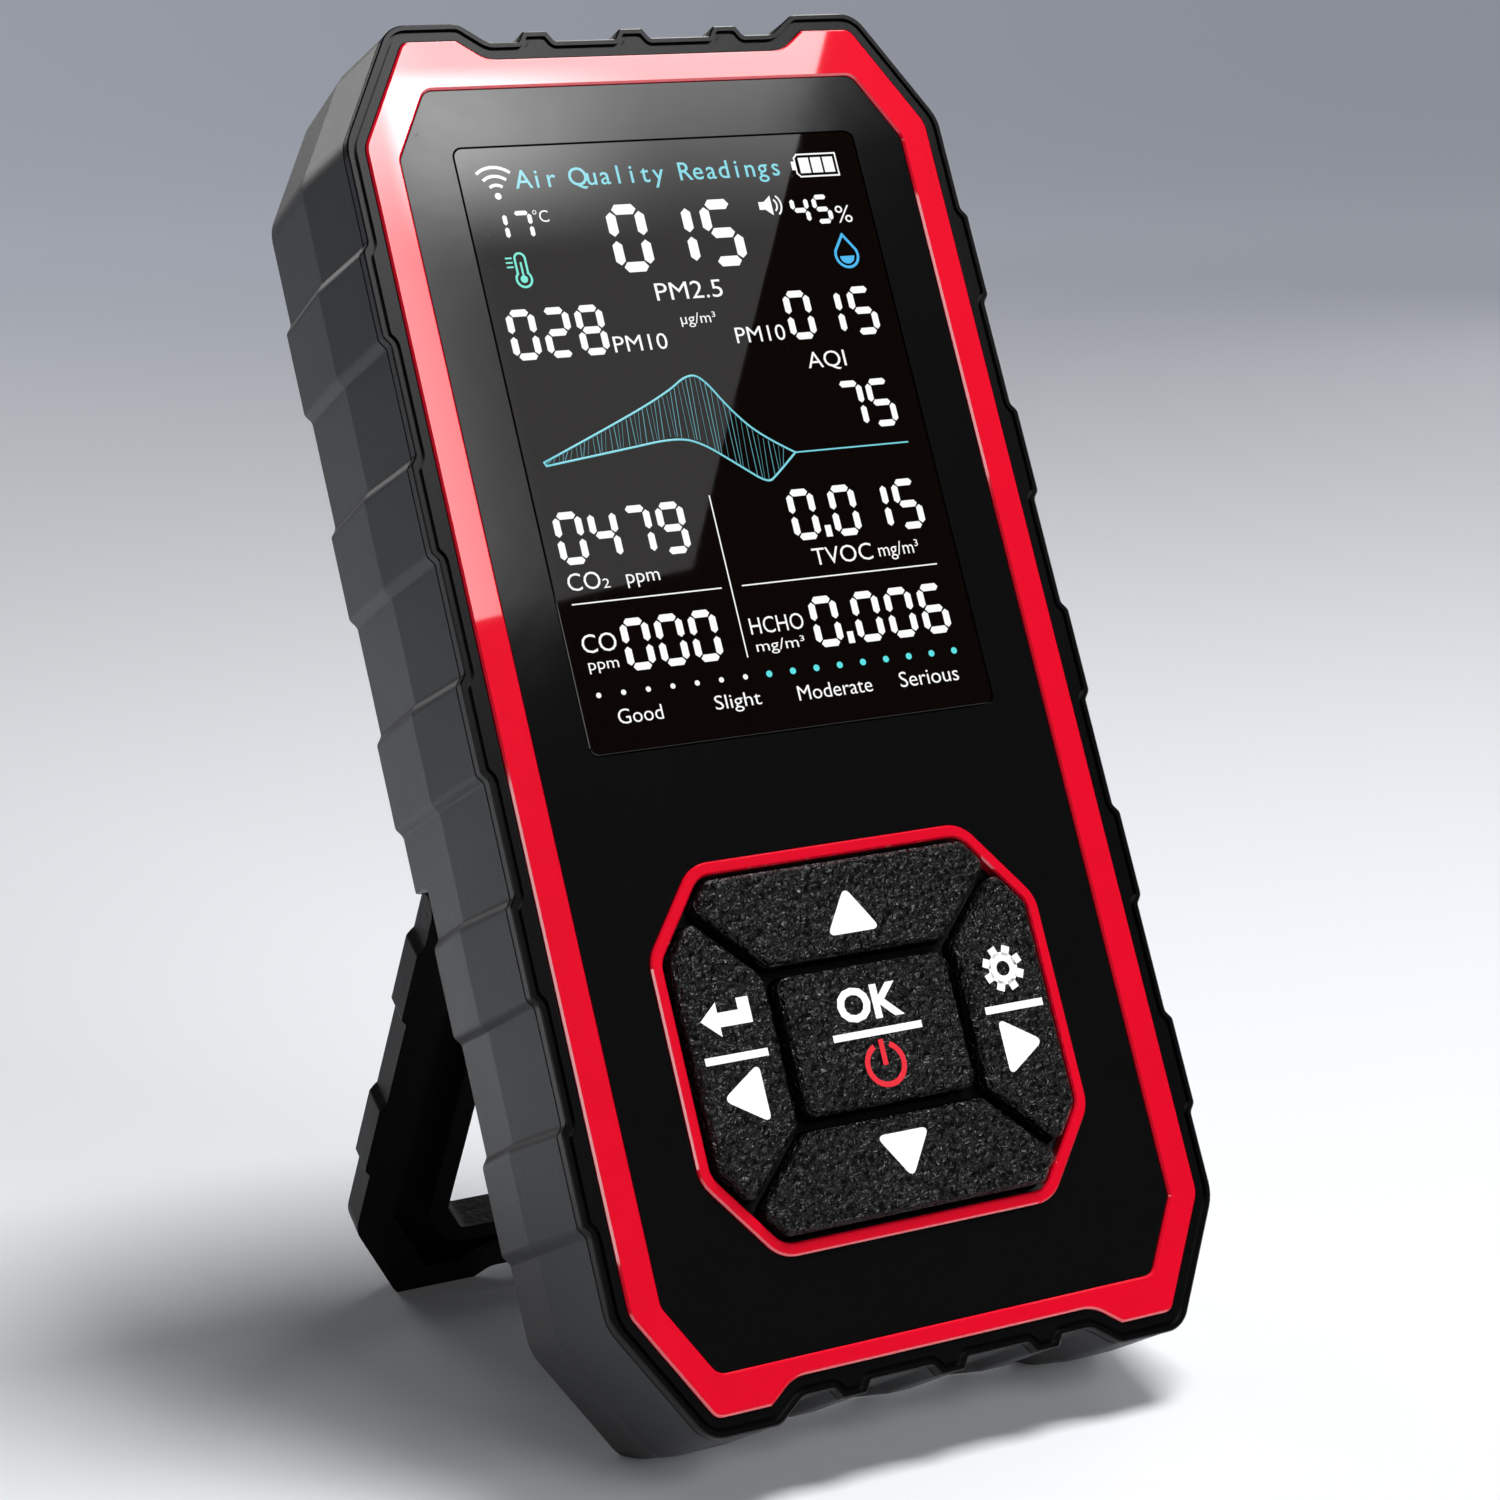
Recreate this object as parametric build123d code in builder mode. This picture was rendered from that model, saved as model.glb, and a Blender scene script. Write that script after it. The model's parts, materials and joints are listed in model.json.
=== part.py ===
from build123d import *
from math import acos, atan2, cos, degrees, hypot, radians, sin
import os

# Handheld air quality monitor leaning back on its kickstand. Millimetres, +Z up, the screen
# faces -Y, and the origin is under the middle of the object, on the surface that it stands on.
# Sketches use the case's own directions: u to the viewer's right, v up along the front face,
# w straight out of the front face, all counted from the middle of the front face.

# Stance
lean = 25.5                 # how far the case leans back from upright, degrees
floor_trim = 0.8            # how much of the heel and of the foot is flattened by the floor

# Case outline, seen square to the screen
case_half_width = 36.3
lug_height = 75.0           # middle of the face to the top of a corner lug
edge_height = 72.75         # middle of the face to the straight edge between two lugs
lug_inner = 20.5            # where a lug's top starts, from the middle
lug_slope_foot = 17.4       # where a lug's inner slope ends
lug_outer = 28.6            # where a lug's top meets the corner cut
corner_height = 62.0        # where the corner cut meets the side
corner_round = 5.0
lug_round = 3.4
slope_round = 2.0
tooth_spacing = 11.65
tooth_half_top = 1.4
tooth_ramp = 0.75
tooth_rise = 1.15
small_round = 0.35

# Grip pads along each side
pad_count = 5
pad_first = 45.45           # centre of the highest pad
pad_pitch = 23.2
pad_length = 11.2
pad_ramp = 0.9
pad_proud = 0.7
pad_round = 0.8

# Depths along w
boot_front = -1.4
ridge_depth = -12.0
ridge_bulge = 0.6
back_taper = 0.1
back_edge = 0.8             # bevel round the back of the case and of the stand
back_lower = -20.2
step_v = -12.7              # where the thick upper case steps in to the thin lower case
shell_joint = -8.0
outline_margin = 30.0       # how far cutting bodies run past the case

# Walls and fits
gasket_thickness = 0.6
boot_wall = 2.4
boot_back = 1.6
boot_fit = 0.05
shell_wall = 1.6
part_gap = 0.12             # visible gap between neighbouring front pieces
seat_gap = 0.05             # gap under a piece that sits on another
window_half_width = 30.3    # opening in the back of the boot
window_height = 69.0
window_cut_u = 9.0
window_cut_v = 15.0
back_recess = 0.2

# Front rim
bead_width = 0.6
bead_edge = 0.15
rim_groove = 0.45
rim_groove_depth = 0.45
rim_thickness = 1.1
neck_inset = 0.55

# Bezel, front panel and screen
bezel_inset = 2.05
bezel_proud = 0.3
bezel_edge = 0.22
panel_half_width = 30.7
panel_top = 67.5
panel_bottom = -68.8
panel_cut_u = 4.5
panel_cut_v = 7.6
panel_round = 1.6
panel_thickness = 1.2
plate_thickness = 1.6
screen_half_width = 24.5
screen_top = 60.9
screen_bottom = -5.6
screen_round = 1.1
screen_ledge = 1.5
lens_edge = 0.12

# Display module
display_half_width = 27.2
display_top = 62.4
display_bottom = -10.4
glass_thickness = 1.2
backlight_thickness = 2.4
flex_width = 22.0
flex_thickness = 0.25
flex_drop = 4.0

# Keypad
keypad_middle = -38.6
ring_half_width = 23.45
ring_half_height = 20.5
ring_cut_u = 7.0
ring_cut_v = 9.0
ring_round = 4.0
ring_width = 1.35
ring_proud = 0.35
ring_edge = 0.2
key_gap = 1.3
key_rim_gap = 0.65
key_hole_gap = 0.3
key_flange = 0.55
key_flange_thickness = 0.8
key_proud = 1.3
key_edge = 0.4
key_corner = 1.0
key_travel = 0.8
ok_half_width = 10.2
ok_half_height = 7.3
ok_round = 1.4
membrane_thickness = 0.8
membrane_margin = 2.0
dome_radius = 2.6
dome_height = 0.4
switch_size = 6.0
switch_height = 1.7
plunger_radius = 1.6

# Main board and what it carries
board_front = -8.2
board_thickness = 1.6
board_half_width = 31.0
board_top = 60.0
board_bottom = -62.0
board_cut = 16.0
standoff_radius = 2.3
standoff_u = 28.6
standoff_heights = [-14.0, -44.0]
board_screw_radius = 0.9
board_screw_head = 1.8
board_screw_head_height = 1.0
board_screw_length = 6.0
screw_hole_gap = 0.1

# Case screws
screw_radius = 1.1
screw_head_radius = 2.1
screw_head_height = 1.4
screw_driver = 0.9
screw_driver_depth = 0.8
post_radius = 2.7
upper_screw_u = 19.0
upper_screw_v = 65.5
lower_screw_u = 21.0
lower_screw_v = -63.0
screw_bite = 5.5            # thread length in the front shell's post

# Kickstand
stand_gap = 0.3
knuckle_radius = 1.9
stand_bevel_v = -18.6       # where the back of the stand starts to slope to its knuckle
pin_radius = 1.0
pin_running_fit = 0.05
pin_length = 15.0
ear_u = 20.5
ear_width = 5.0
ear_radius = 1.6
ear_fit = 0.3
ear_pocket_v = -17.8
grip_wall = 1.8
grip_top = -18.9
stand_band = 4.4
stand_pocket_depth = 2.2
stand_pocket_top = -22.0
stand_opening_half_width = 25.2
stand_opening_top = -27.5
stand_opening_bottom = -65.0
stand_opening_cut_u = 2.4
stand_opening_cut_v = 4.0
stand_opening_round = 1.5
stand_lip = 2.3

# Particle sensor with its fan
particle_u = -10.0
particle_v = 34.0
particle_size = 36.0
particle_depth = 10.8
intake_gap = 1.75           # air between the particle sensor and the vent filter
particle_round = 1.0
fan_u = -1.5
fan_v = 25.5
fan_radius = 7.6
fan_pocket_gap = 0.8
fan_depth = 5.0
fan_hub_radius = 3.2
fan_blades = 7
fan_blade_thickness = 0.7
fan_blade_sweep = 25.0
fan_shaft_radius = 0.75
fan_running_fit = 0.05
inlet_width = 10.0
inlet_height = 5.0
laser_radius = 2.4
laser_length = 9.0
laser_v = 45.0

# Other sensors and electronics
carbon_dioxide_u = 20.0
carbon_dioxide_v = 37.0
carbon_dioxide_width = 18.0
carbon_dioxide_height = 26.0
carbon_dioxide_depth = 8.5
formaldehyde_u = -20.0
formaldehyde_v = 6.0
formaldehyde_radius = 6.5
formaldehyde_depth = 7.0
carbon_monoxide_u = 15.5
carbon_monoxide_v = 5.5
carbon_monoxide_radius = 7.6
carbon_monoxide_depth = 9.0
can_lip = 0.8
can_port_radius = 1.5
can_port_depth = 0.6
voc_u = -3.0
voc_v = 9.0
voc_size = 5.0
humidity_u = 3.0
humidity_v = 11.5
humidity_size = 3.6
chip_depth = 1.5
wifi_u = -3.0
wifi_v = -7.0
wifi_size = 17.0
wifi_board = 0.8
wifi_can_depth = 2.0
wifi_can_margin = 1.0
wifi_antenna = 5.0
buzzer_u = 14.5
buzzer_v = -13.0
buzzer_radius = 5.0
buzzer_depth = 4.2
buzzer_hole = 1.0
battery_half_width = 17.0
battery_top = -20.0
battery_bottom = -58.0
battery_depth = 6.4
battery_round = 2.0

# Charging port on the right side, between the second and third pads
port_v = 10.65
port_half_width = 4.5
port_half_height = 1.65
port_wall = 0.3
port_length = 8.0
port_mouth = 33.6
port_tongue = 0.7
port_margin = 0.4
port_boot_margin = 1.6

# Vents, filter and rating plate on the back
vent_v = 38.0
vent_rows = 7
vent_pitch = 4.0
vent_half_length = 15.0
vent_slot = 1.7
filter_margin = 2.5
filter_thickness = 0.5
plate_v = 8.0
plate_half_width = 20.0
plate_half_height = 8.0
plate_depth = 0.4
plate_round = 1.0

# Depths that follow from the sizes above
panel_back = -panel_thickness
plate_back = panel_back - plate_thickness
key_bottom = plate_back - seat_gap - key_flange_thickness
dome_top = key_bottom - key_travel - seat_gap
membrane_front = dome_top - dome_height
membrane_back = membrane_front - membrane_thickness
glass_front = plate_back - seat_gap
glass_back = glass_front - glass_thickness
backlight_back = glass_back - backlight_thickness
board_back = board_front - board_thickness
mounted = board_back - seat_gap
particle_back = mounted - particle_depth
back_upper = particle_back - intake_gap - filter_thickness - shell_wall - back_recess
shell_inset = boot_wall + boot_fit
inside_inset = shell_inset + shell_wall
shell_back_upper = back_upper + boot_back + boot_fit
shell_back_lower = back_lower + boot_back + boot_fit
cover_back_upper = back_upper + back_recess
cover_inside_upper = cover_back_upper + shell_wall
cover_back_lower = back_lower
cover_inside_lower = cover_back_lower + shell_wall

# Hinge of the kickstand, in case coordinates
stand_inner = back_lower - stand_gap
hinge_v = step_v - stand_gap - knuckle_radius
hinge_w = stand_inner - knuckle_radius


def outline_inset(depth):
    """How far the case outline has moved in at a depth behind its side ridge."""
    run = ridge_depth - back_upper - back_edge
    return (ridge_depth - depth) / run * (ridge_bulge + back_taper) - ridge_bulge


# The stand opens until its foot and the heel of the case stand on the same level
heel_along = hinge_v + lug_height - outline_inset(back_lower)
heel_out = back_lower - hinge_w
hinge_height = heel_along * cos(radians(lean)) - heel_out * sin(radians(lean))
foot_along = hinge_v + lug_height - outline_inset(stand_inner)
foot_out = stand_inner - hinge_w
foot_reach = hypot(foot_along, foot_out)
stand_lean = degrees(atan2(foot_out, foot_along) + acos(hinge_height / foot_reach))
opening = lean + stand_lean

# Directions in the standing position
u_axis = Vector(1, 0, 0)
v_axis = Vector(0, sin(radians(lean)), cos(radians(lean)))
w_axis = Vector(0, -cos(radians(lean)), sin(radians(lean)))
stand_v_axis = Vector(0, -sin(radians(stand_lean)), cos(radians(stand_lean)))
stand_w_axis = Vector(0, -cos(radians(stand_lean)), -sin(radians(stand_lean)))

# Place of the front face's middle: the trimmed heel is on the floor, and the whole depth of the
# object, from the low front edge to the far edge at the top, is centred on the origin
low_front = -(lug_height - bead_edge) * v_axis.Y
far_top = (lug_height - back_taper - back_edge) * v_axis.Y + back_upper * w_axis.Y
face_height = hinge_height - hinge_v * v_axis.Z - hinge_w * w_axis.Z - floor_trim
face_middle = Vector(0, -(low_front + far_top) / 2, face_height)
hinge_point = face_middle + v_axis * hinge_v + w_axis * hinge_w
stand_middle = hinge_point - stand_v_axis * hinge_v - stand_w_axis * hinge_w

face = Plane(face_middle, x_dir=u_axis, z_dir=w_axis)
side = Plane(face_middle, x_dir=v_axis, z_dir=u_axis)
stand_face = Plane(stand_middle, x_dir=u_axis, z_dir=stand_w_axis)
stand_side = Plane(stand_middle, x_dir=stand_v_axis, z_dir=u_axis)


def case_corners(pads=True, teeth=True):
    """Corners of the case outline as (u, v, round), anticlockwise."""
    low = []
    if teeth:
        for centre in [0, tooth_spacing]:
            tooth = [
                (centre - tooth_half_top - tooth_ramp, edge_height),
                (centre - tooth_half_top, edge_height + tooth_rise),
                (centre + tooth_half_top, edge_height + tooth_rise),
                (centre + tooth_half_top + tooth_ramp, edge_height),
            ]
            low += [(u, v, small_round) for u, v in tooth if u > 0]
    low += [
        (lug_slope_foot, edge_height, slope_round),
        (lug_inner, lug_height, slope_round),
        (lug_outer, lug_height, lug_round),
        (case_half_width, corner_height, corner_round),
    ]
    sides = []
    if pads:
        for number in reversed(range(pad_count)):
            middle = pad_first - number * pad_pitch
            outer = pad_length / 2
            inner = outer - pad_ramp
            sides += [
                (case_half_width, middle - outer, pad_round),
                (case_half_width + pad_proud, middle - inner, pad_round),
                (case_half_width + pad_proud, middle + inner, pad_round),
                (case_half_width, middle + outer, pad_round),
            ]
    right = [(u, -v, r) for u, v, r in low] + sides + list(reversed(low))
    left = [(-u, v, r) for u, v, r in reversed(right)]
    return right + left


def octagon(half_width, low, high, cut_u, cut_v, corner):
    """Corners of an upright rectangle with cut corners, anticlockwise."""
    return [
        (half_width - cut_u, low, corner),
        (half_width, low + cut_v, corner),
        (half_width, high - cut_v, corner),
        (half_width - cut_u, high, corner),
        (cut_u - half_width, high, corner),
        (-half_width, high - cut_v, corner),
        (-half_width, low + cut_v, corner),
        (cut_u - half_width, low, corner),
    ]


def rectangle_corners(half_width, low, high, corner):
    """Corners of an upright rectangle, anticlockwise."""
    return [
        (half_width, low, corner),
        (half_width, high, corner),
        (-half_width, high, corner),
        (-half_width, low, corner),
    ]


def inset(corners, distance):
    """The same outline moved inwards, or outwards when distance is negative."""
    moved = []
    for index, (u, v, corner) in enumerate(corners):
        before = corners[index - 1]
        after = corners[(index + 1) % len(corners)]
        arriving = Vector(u - before[0], v - before[1]).normalized()
        leaving = Vector(after[0] - u, after[1] - v).normalized()
        inward = Vector(-arriving.Y - leaving.Y, arriving.X + leaving.X)
        shift = inward * (distance / (1 + arriving.dot(leaving)))
        turns_left = arriving.X * leaving.Y > arriving.Y * leaving.X
        rounded = corner - distance if turns_left else corner + distance
        moved.append((u + shift.X, v + shift.Y, max(rounded, small_round)))
    return moved


def outline(plane, corners, hole=None):
    """A filled outline with rounded corners on the plane, with one hole if given."""
    with BuildSketch(plane) as sketch:
        with BuildLine():
            FilletPolyline([(u, v) for u, v, _ in corners], radius=[r for _, _, r in corners], close=True)
        make_face()
        if hole:
            with BuildLine():
                FilletPolyline([(u, v) for u, v, _ in hole], radius=[r for _, _, r in hole], close=True)
            make_face(mode=Mode.SUBTRACT)
    return sketch.sketch


def slab(corners, front, back, hole=None):
    """A plate with that outline between two depths of the case."""
    with BuildPart() as plate:
        extrude(outline(face.offset(back), corners, hole), amount=front - back)
    return plate.part


def disc(u, v, radius, front, back):
    """A round bar along w between two depths of the case."""
    with BuildPart() as bar:
        with BuildSketch(face.offset(back)):
            with Locations((u, v)):
                Circle(radius)
        extrude(amount=front - back)
    return bar.part


def block(u, v, width, height, front, back, corner=0.0):
    """A rectangular block centred on (u, v) between two depths of the case."""
    with BuildPart() as box:
        with BuildSketch(face.offset(back)):
            with Locations((u, v)):
                if corner:
                    RectangleRounded(width, height, corner)
                else:
                    Rectangle(width, height)
        extrude(amount=front - back)
    return box.part


def depth_profile(plane, upper, lower, step):
    """Everything in front of a stepped back, as a body that runs past the case."""
    far = lug_height + outline_margin
    with BuildPart() as profile:
        with BuildSketch(plane):
            with BuildLine():
                Polyline((-far, outline_margin), (-far, lower), (step, lower), (step, upper),
                         (far, upper), (far, outline_margin), close=True)
            make_face()
        extrude(amount=far, both=True)
    return profile.part


def stepped_body(corners, upper, lower, step):
    """A body with that outline, whose back is deeper above the step than below it."""
    with BuildPart() as body:
        extrude(outline(face.offset(upper), corners), amount=-upper)
        add(depth_profile(side, upper, lower, step), mode=Mode.INTERSECT)
    return body.part


def case_body(plane):
    """The case's outer shape with its side ridge, and with a flat back at full depth."""
    corners = case_corners()
    ridge = inset(corners, -ridge_bulge)
    with BuildPart() as body:
        loft([outline(plane.offset(boot_front), corners), outline(plane.offset(ridge_depth), ridge)],
             ruled=True)
        loft([outline(plane.offset(ridge_depth), ridge),
              outline(plane.offset(back_upper + back_edge), inset(corners, back_taper))], ruled=True)
        loft([outline(plane.offset(back_upper + back_edge), inset(corners, back_taper)),
              outline(plane.offset(back_upper), inset(corners, back_taper + back_edge))], ruled=True)
    return body.part


def port_shape(margin, start_u, length):
    """The charging port's outline, grown by a margin and drawn out along u."""
    with BuildPart() as shape:
        with BuildSketch(side.offset(start_u)):
            with Locations((port_v, port_w)):
                RectangleRounded(2 * (port_half_width + margin), 2 * (port_half_height + margin),
                                 port_half_height + margin - port_wall)
        extrude(amount=length)
    return shape.part


def below_floor():
    """Everything under the surface that the object stands on."""
    reach = 2 * (lug_height + outline_margin)
    with BuildPart() as ground:
        with BuildSketch(Plane.XY):
            Rectangle(reach, reach)
        extrude(amount=-outline_margin)
    return ground.part


def key_cells(plane, grow):
    """The five key shapes, each grown outwards by the given amount."""
    gap = key_gap - 2 * grow
    rim = [(u, v, 0) for u, v, _ in inset(ring_inner, key_rim_gap - grow)]
    with BuildSketch(plane) as cells:
        add(outline(Plane.XY, rim))
        with Locations((0, keypad_middle)):
            Rectangle(2 * (ok_half_width + key_gap - grow), 2 * (ok_half_height + key_gap - grow),
                      mode=Mode.SUBTRACT)
        for across in (1, -1):
            for up in (1, -1):
                middle = (across * (ok_half_width + key_gap / 2 + ring_cut_u),
                          keypad_middle + up * (ok_half_height + key_gap / 2 + ring_cut_u))
                with Locations(Location(middle, 45 * across * up)):
                    Rectangle(4 * ring_cut_u, gap, mode=Mode.SUBTRACT)
        fillet(cells.vertices(), key_corner + grow)
        with Locations((0, keypad_middle)):
            RectangleRounded(2 * (ok_half_width + grow), 2 * (ok_half_height + grow), ok_round + grow)
    return cells.sketch


def key_shape(plane, grow, direction):
    """One key's shape: the one farthest in that direction, or the middle one without it."""
    shapes = key_cells(plane, grow).faces()
    if direction is None:
        return shapes.sort_by_distance(plane.from_local_coords((0, keypad_middle)))[0]
    return shapes.sort_by(Axis(plane.origin, direction))[-1]


def finish(builder, name):
    """Name a piece and write it."""
    builder.part.label = name
    export_step(builder.part, f"parts/{name}.step")


os.makedirs("parts", exist_ok=True)

plain_case = case_corners(pads=False, teeth=False)
shell_outline = inset(plain_case, shell_inset)
inside_outline = inset(plain_case, inside_inset)
bezel_seat = inset(plain_case, bezel_inset - part_gap)
cover_outline_gap = part_gap / 2
window = octagon(window_half_width, -window_height, window_height, window_cut_u, window_cut_v, slope_round)
panel = octagon(panel_half_width, panel_bottom, panel_top, panel_cut_u, panel_cut_v, panel_round)
screen = rectangle_corners(screen_half_width, screen_bottom, screen_top, screen_round)
ring = octagon(ring_half_width, keypad_middle - ring_half_height, keypad_middle + ring_half_height,
               ring_cut_u, ring_cut_v, ring_round)
ring_inner = inset(ring, ring_width)
screw_places = [
    (upper_screw_u, upper_screw_v, cover_back_upper),
    (-upper_screw_u, upper_screw_v, cover_back_upper),
    (lower_screw_u, lower_screw_v, cover_back_lower),
    (-lower_screw_u, lower_screw_v, cover_back_lower),
]
standoff_places = [(u, v) for v in standoff_heights for u in (standoff_u, -standoff_u)]
port_w = board_back - port_half_height
ground = below_floor()

# Rubber boot around both shells, open at the back, with its floor flats cut
with BuildPart() as rubber_boot:
    add(case_body(face))
    add(depth_profile(side, back_upper, back_lower, step_v), mode=Mode.INTERSECT)
    add(stepped_body(inset(plain_case, boot_wall), back_upper + boot_back, back_lower + boot_back,
                     step_v + boot_back), mode=Mode.SUBTRACT)
    add(slab(window, 0, back_upper - outline_margin), mode=Mode.SUBTRACT)
    add(port_shape(port_boot_margin, board_half_width, outline_margin), mode=Mode.SUBTRACT)
    add(ground, mode=Mode.SUBTRACT)
finish(rubber_boot, "rubber_boot")

# Front shell: rim with its bead, plate behind the panel, tub wall, posts and standoffs
with BuildPart() as front_shell:
    extrude(outline(face.offset(-rim_thickness), case_corners()), amount=rim_thickness)
    chamfer(front_shell.faces().sort_by(Axis(face.origin, face.z_dir))[-1].edges(), bead_edge)
    extrude(outline(face.offset(boot_front), inset(case_corners(), neck_inset)),
            amount=-boot_front - rim_thickness)
    extrude(outline(face.offset(shell_joint), shell_outline), amount=boot_front - shell_joint)
    add(slab(inside_outline, plate_back, shell_joint), mode=Mode.SUBTRACT)
    add(slab(bezel_seat, outline_margin, panel_back), mode=Mode.SUBTRACT)
    add(slab(inset(case_corners(), bead_width), outline_margin, -rim_groove_depth,
             hole=inset(case_corners(), bead_width + rim_groove)), mode=Mode.SUBTRACT)
    add(slab(inset(screen, screen_ledge), 0, board_front), mode=Mode.SUBTRACT)
    extrude(key_cells(face.offset(plate_back), key_hole_gap), amount=plate_thickness, mode=Mode.SUBTRACT)
    for post_u, post_v, _ in screw_places:
        add(disc(post_u, post_v, post_radius, plate_back, shell_joint))
        add(disc(post_u, post_v, screw_radius + screw_hole_gap, shell_joint + screw_bite, shell_joint),
            mode=Mode.SUBTRACT)
    for post_u, post_v in standoff_places:
        add(disc(post_u, post_v, standoff_radius, plate_back, board_front))
        add(disc(post_u, post_v, board_screw_radius + screw_hole_gap, board_front + board_screw_length,
                 board_front), mode=Mode.SUBTRACT)
finish(front_shell, "front_shell")


# Back shell: stepped tub, cover that fills the boot's opening, posts, vents, port and hinge ears
def hinge_ear(centre_u):
    """An ear of the back shell that holds one hinge pin."""
    with BuildPart() as ear:
        with BuildSketch(side.offset(centre_u - ear_width / 2)):
            with Locations((hinge_v, hinge_w)):
                Circle(ear_radius)
            with Locations((hinge_v, cover_inside_lower)):
                Rectangle(2 * ear_radius, shell_wall)
            make_hull()
            with Locations((hinge_v, hinge_w)):
                Circle(pin_radius, mode=Mode.SUBTRACT)
        extrude(amount=ear_width)
    return ear.part


cover_outline = inset(window, cover_outline_gap)
with BuildPart() as back_shell:
    add(stepped_body(shell_outline, shell_back_upper, shell_back_lower, step_v + boot_back + boot_fit))
    add(stepped_body(cover_outline, cover_back_upper, cover_back_lower, step_v))
    add(stepped_body(inside_outline, shell_back_upper + shell_wall, shell_back_lower + shell_wall,
                     step_v + boot_back + boot_fit + shell_wall), mode=Mode.SUBTRACT)
    add(stepped_body(inset(cover_outline, shell_wall), cover_inside_upper, cover_inside_lower,
                     step_v + shell_wall), mode=Mode.SUBTRACT)
    for post_u, post_v, cover_back in screw_places:
        add(disc(post_u, post_v, post_radius, 0, cover_back + shell_wall / 2))
    add(slab(inset(plain_case, -ridge_bulge), outline_margin, shell_joint - gasket_thickness),
        mode=Mode.SUBTRACT)
    for post_u, post_v, cover_back in screw_places:
        add(disc(post_u, post_v, screw_radius + screw_hole_gap, 0, cover_back - outline_margin),
            mode=Mode.SUBTRACT)
        add(disc(post_u, post_v, screw_head_radius + screw_hole_gap, cover_back + screw_head_height,
                 cover_back - outline_margin), mode=Mode.SUBTRACT)
    with BuildSketch(face.offset(cover_back_upper)):
        with Locations((0, vent_v)):
            with GridLocations(0, vent_pitch, 1, vent_rows):
                SlotOverall(2 * vent_half_length, vent_slot)
    extrude(amount=cover_inside_upper - cover_back_upper, mode=Mode.SUBTRACT)
    add(block(0, plate_v, 2 * (plate_half_width + part_gap), 2 * (plate_half_height + part_gap),
              cover_back_upper + plate_depth, cover_back_upper, plate_round + part_gap), mode=Mode.SUBTRACT)
    add(port_shape(port_margin, board_half_width, outline_margin), mode=Mode.SUBTRACT)
    for across in (1, -1):
        add(hinge_ear(across * ear_u))
finish(back_shell, "back_shell")

# Seal between the two shells
with BuildPart() as case_seal:
    extrude(outline(face.offset(shell_joint - gasket_thickness), shell_outline, inside_outline),
            amount=gasket_thickness)
finish(case_seal, "case_seal")

# Red bezel
with BuildPart() as bezel_frame:
    extrude(outline(face.offset(panel_back), inset(plain_case, bezel_inset), panel),
            amount=bezel_proud - panel_back)
    chamfer(bezel_frame.faces().sort_by(Axis(face.origin, face.z_dir))[-1].edges(), bezel_edge)
finish(bezel_frame, "bezel_frame")

# Front panel with its screen window and keypad opening
with BuildPart() as front_panel:
    add(slab(inset(panel, part_gap), 0, panel_back))
    add(slab(inset(screen, -part_gap), 0, panel_back), mode=Mode.SUBTRACT)
    add(slab(inset(ring, -part_gap), 0, panel_back), mode=Mode.SUBTRACT)
finish(front_panel, "front_panel")

# Screen lens
with BuildPart() as screen_lens:
    add(slab(screen, 0, panel_back))
    chamfer(screen_lens.faces().sort_by(Axis(face.origin, face.z_dir))[-1].edges(), lens_edge)
finish(screen_lens, "screen_lens")

# Display glass, its backlight and its ribbon
display_middle = (display_top + display_bottom) / 2
display_height = display_top - display_bottom
with BuildPart() as display_glass:
    add(block(0, display_middle, 2 * display_half_width, display_height, glass_front, glass_back))
finish(display_glass, "display_glass")

with BuildPart() as display_backlight:
    add(block(0, display_middle, 2 * display_half_width, display_height, glass_back, backlight_back,
              part_gap))
finish(display_backlight, "display_backlight")

with BuildPart() as display_ribbon:
    ribbon_start = (glass_front + glass_back) / 2
    ribbon_end = board_front + flex_thickness / 2
    with BuildSketch(side.offset(-flex_width / 2)):
        with BuildLine():
            FilletPolyline((display_bottom, ribbon_start), (display_bottom - flex_drop / 2, ribbon_start),
                           (display_bottom - flex_drop, ribbon_end),
                           (display_bottom - 3 * flex_drop / 2, ribbon_end), radius=flex_thickness)
        trace(line_width=flex_thickness)
    extrude(amount=flex_width)
    split(bisect_by=Plane(side.from_local_coords((display_bottom, 0, 0)), z_dir=v_axis), keep=Keep.BOTTOM)
finish(display_ribbon, "display_ribbon")

# Red ring round the keys
with BuildPart() as keypad_ring:
    extrude(outline(face.offset(panel_back), ring, ring_inner), amount=ring_proud - panel_back)
    chamfer(keypad_ring.faces().sort_by(Axis(face.origin, face.z_dir))[-1].edges(), ring_edge)
finish(keypad_ring, "keypad_ring")

# Five keys, each with a flange behind the plate
key_directions = {
    "key_up": v_axis,
    "key_down": -v_axis,
    "key_left": -u_axis,
    "key_right": u_axis,
    "key_ok": None,
}
flange_front = plate_back - seat_gap
key_centres = []
for key_name, key_direction in key_directions.items():
    with BuildPart() as key:
        extrude(key_shape(face.offset(flange_front), 0, key_direction), amount=key_proud - flange_front)
        chamfer(key.faces().sort_by(Axis(face.origin, face.z_dir))[-1].edges(), key_edge)
        extrude(key_shape(face.offset(key_bottom), key_flange, key_direction), amount=key_flange_thickness)
    finish(key, key_name)
    key_centres.append(face.to_local_coords(key.part.center()))

# Silicone membrane behind the keys, with a dome under each key
with BuildPart() as keypad_membrane:
    membrane_outline = inset(ring, -membrane_margin)
    add(slab(membrane_outline, membrane_front, membrane_back))
    add(slab(membrane_outline, plate_back, membrane_front, hole=inset(ring, -part_gap)))
    for centre in key_centres:
        add(disc(centre.X, centre.Y, dome_radius, dome_top, membrane_front))
finish(keypad_membrane, "keypad_membrane")

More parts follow.
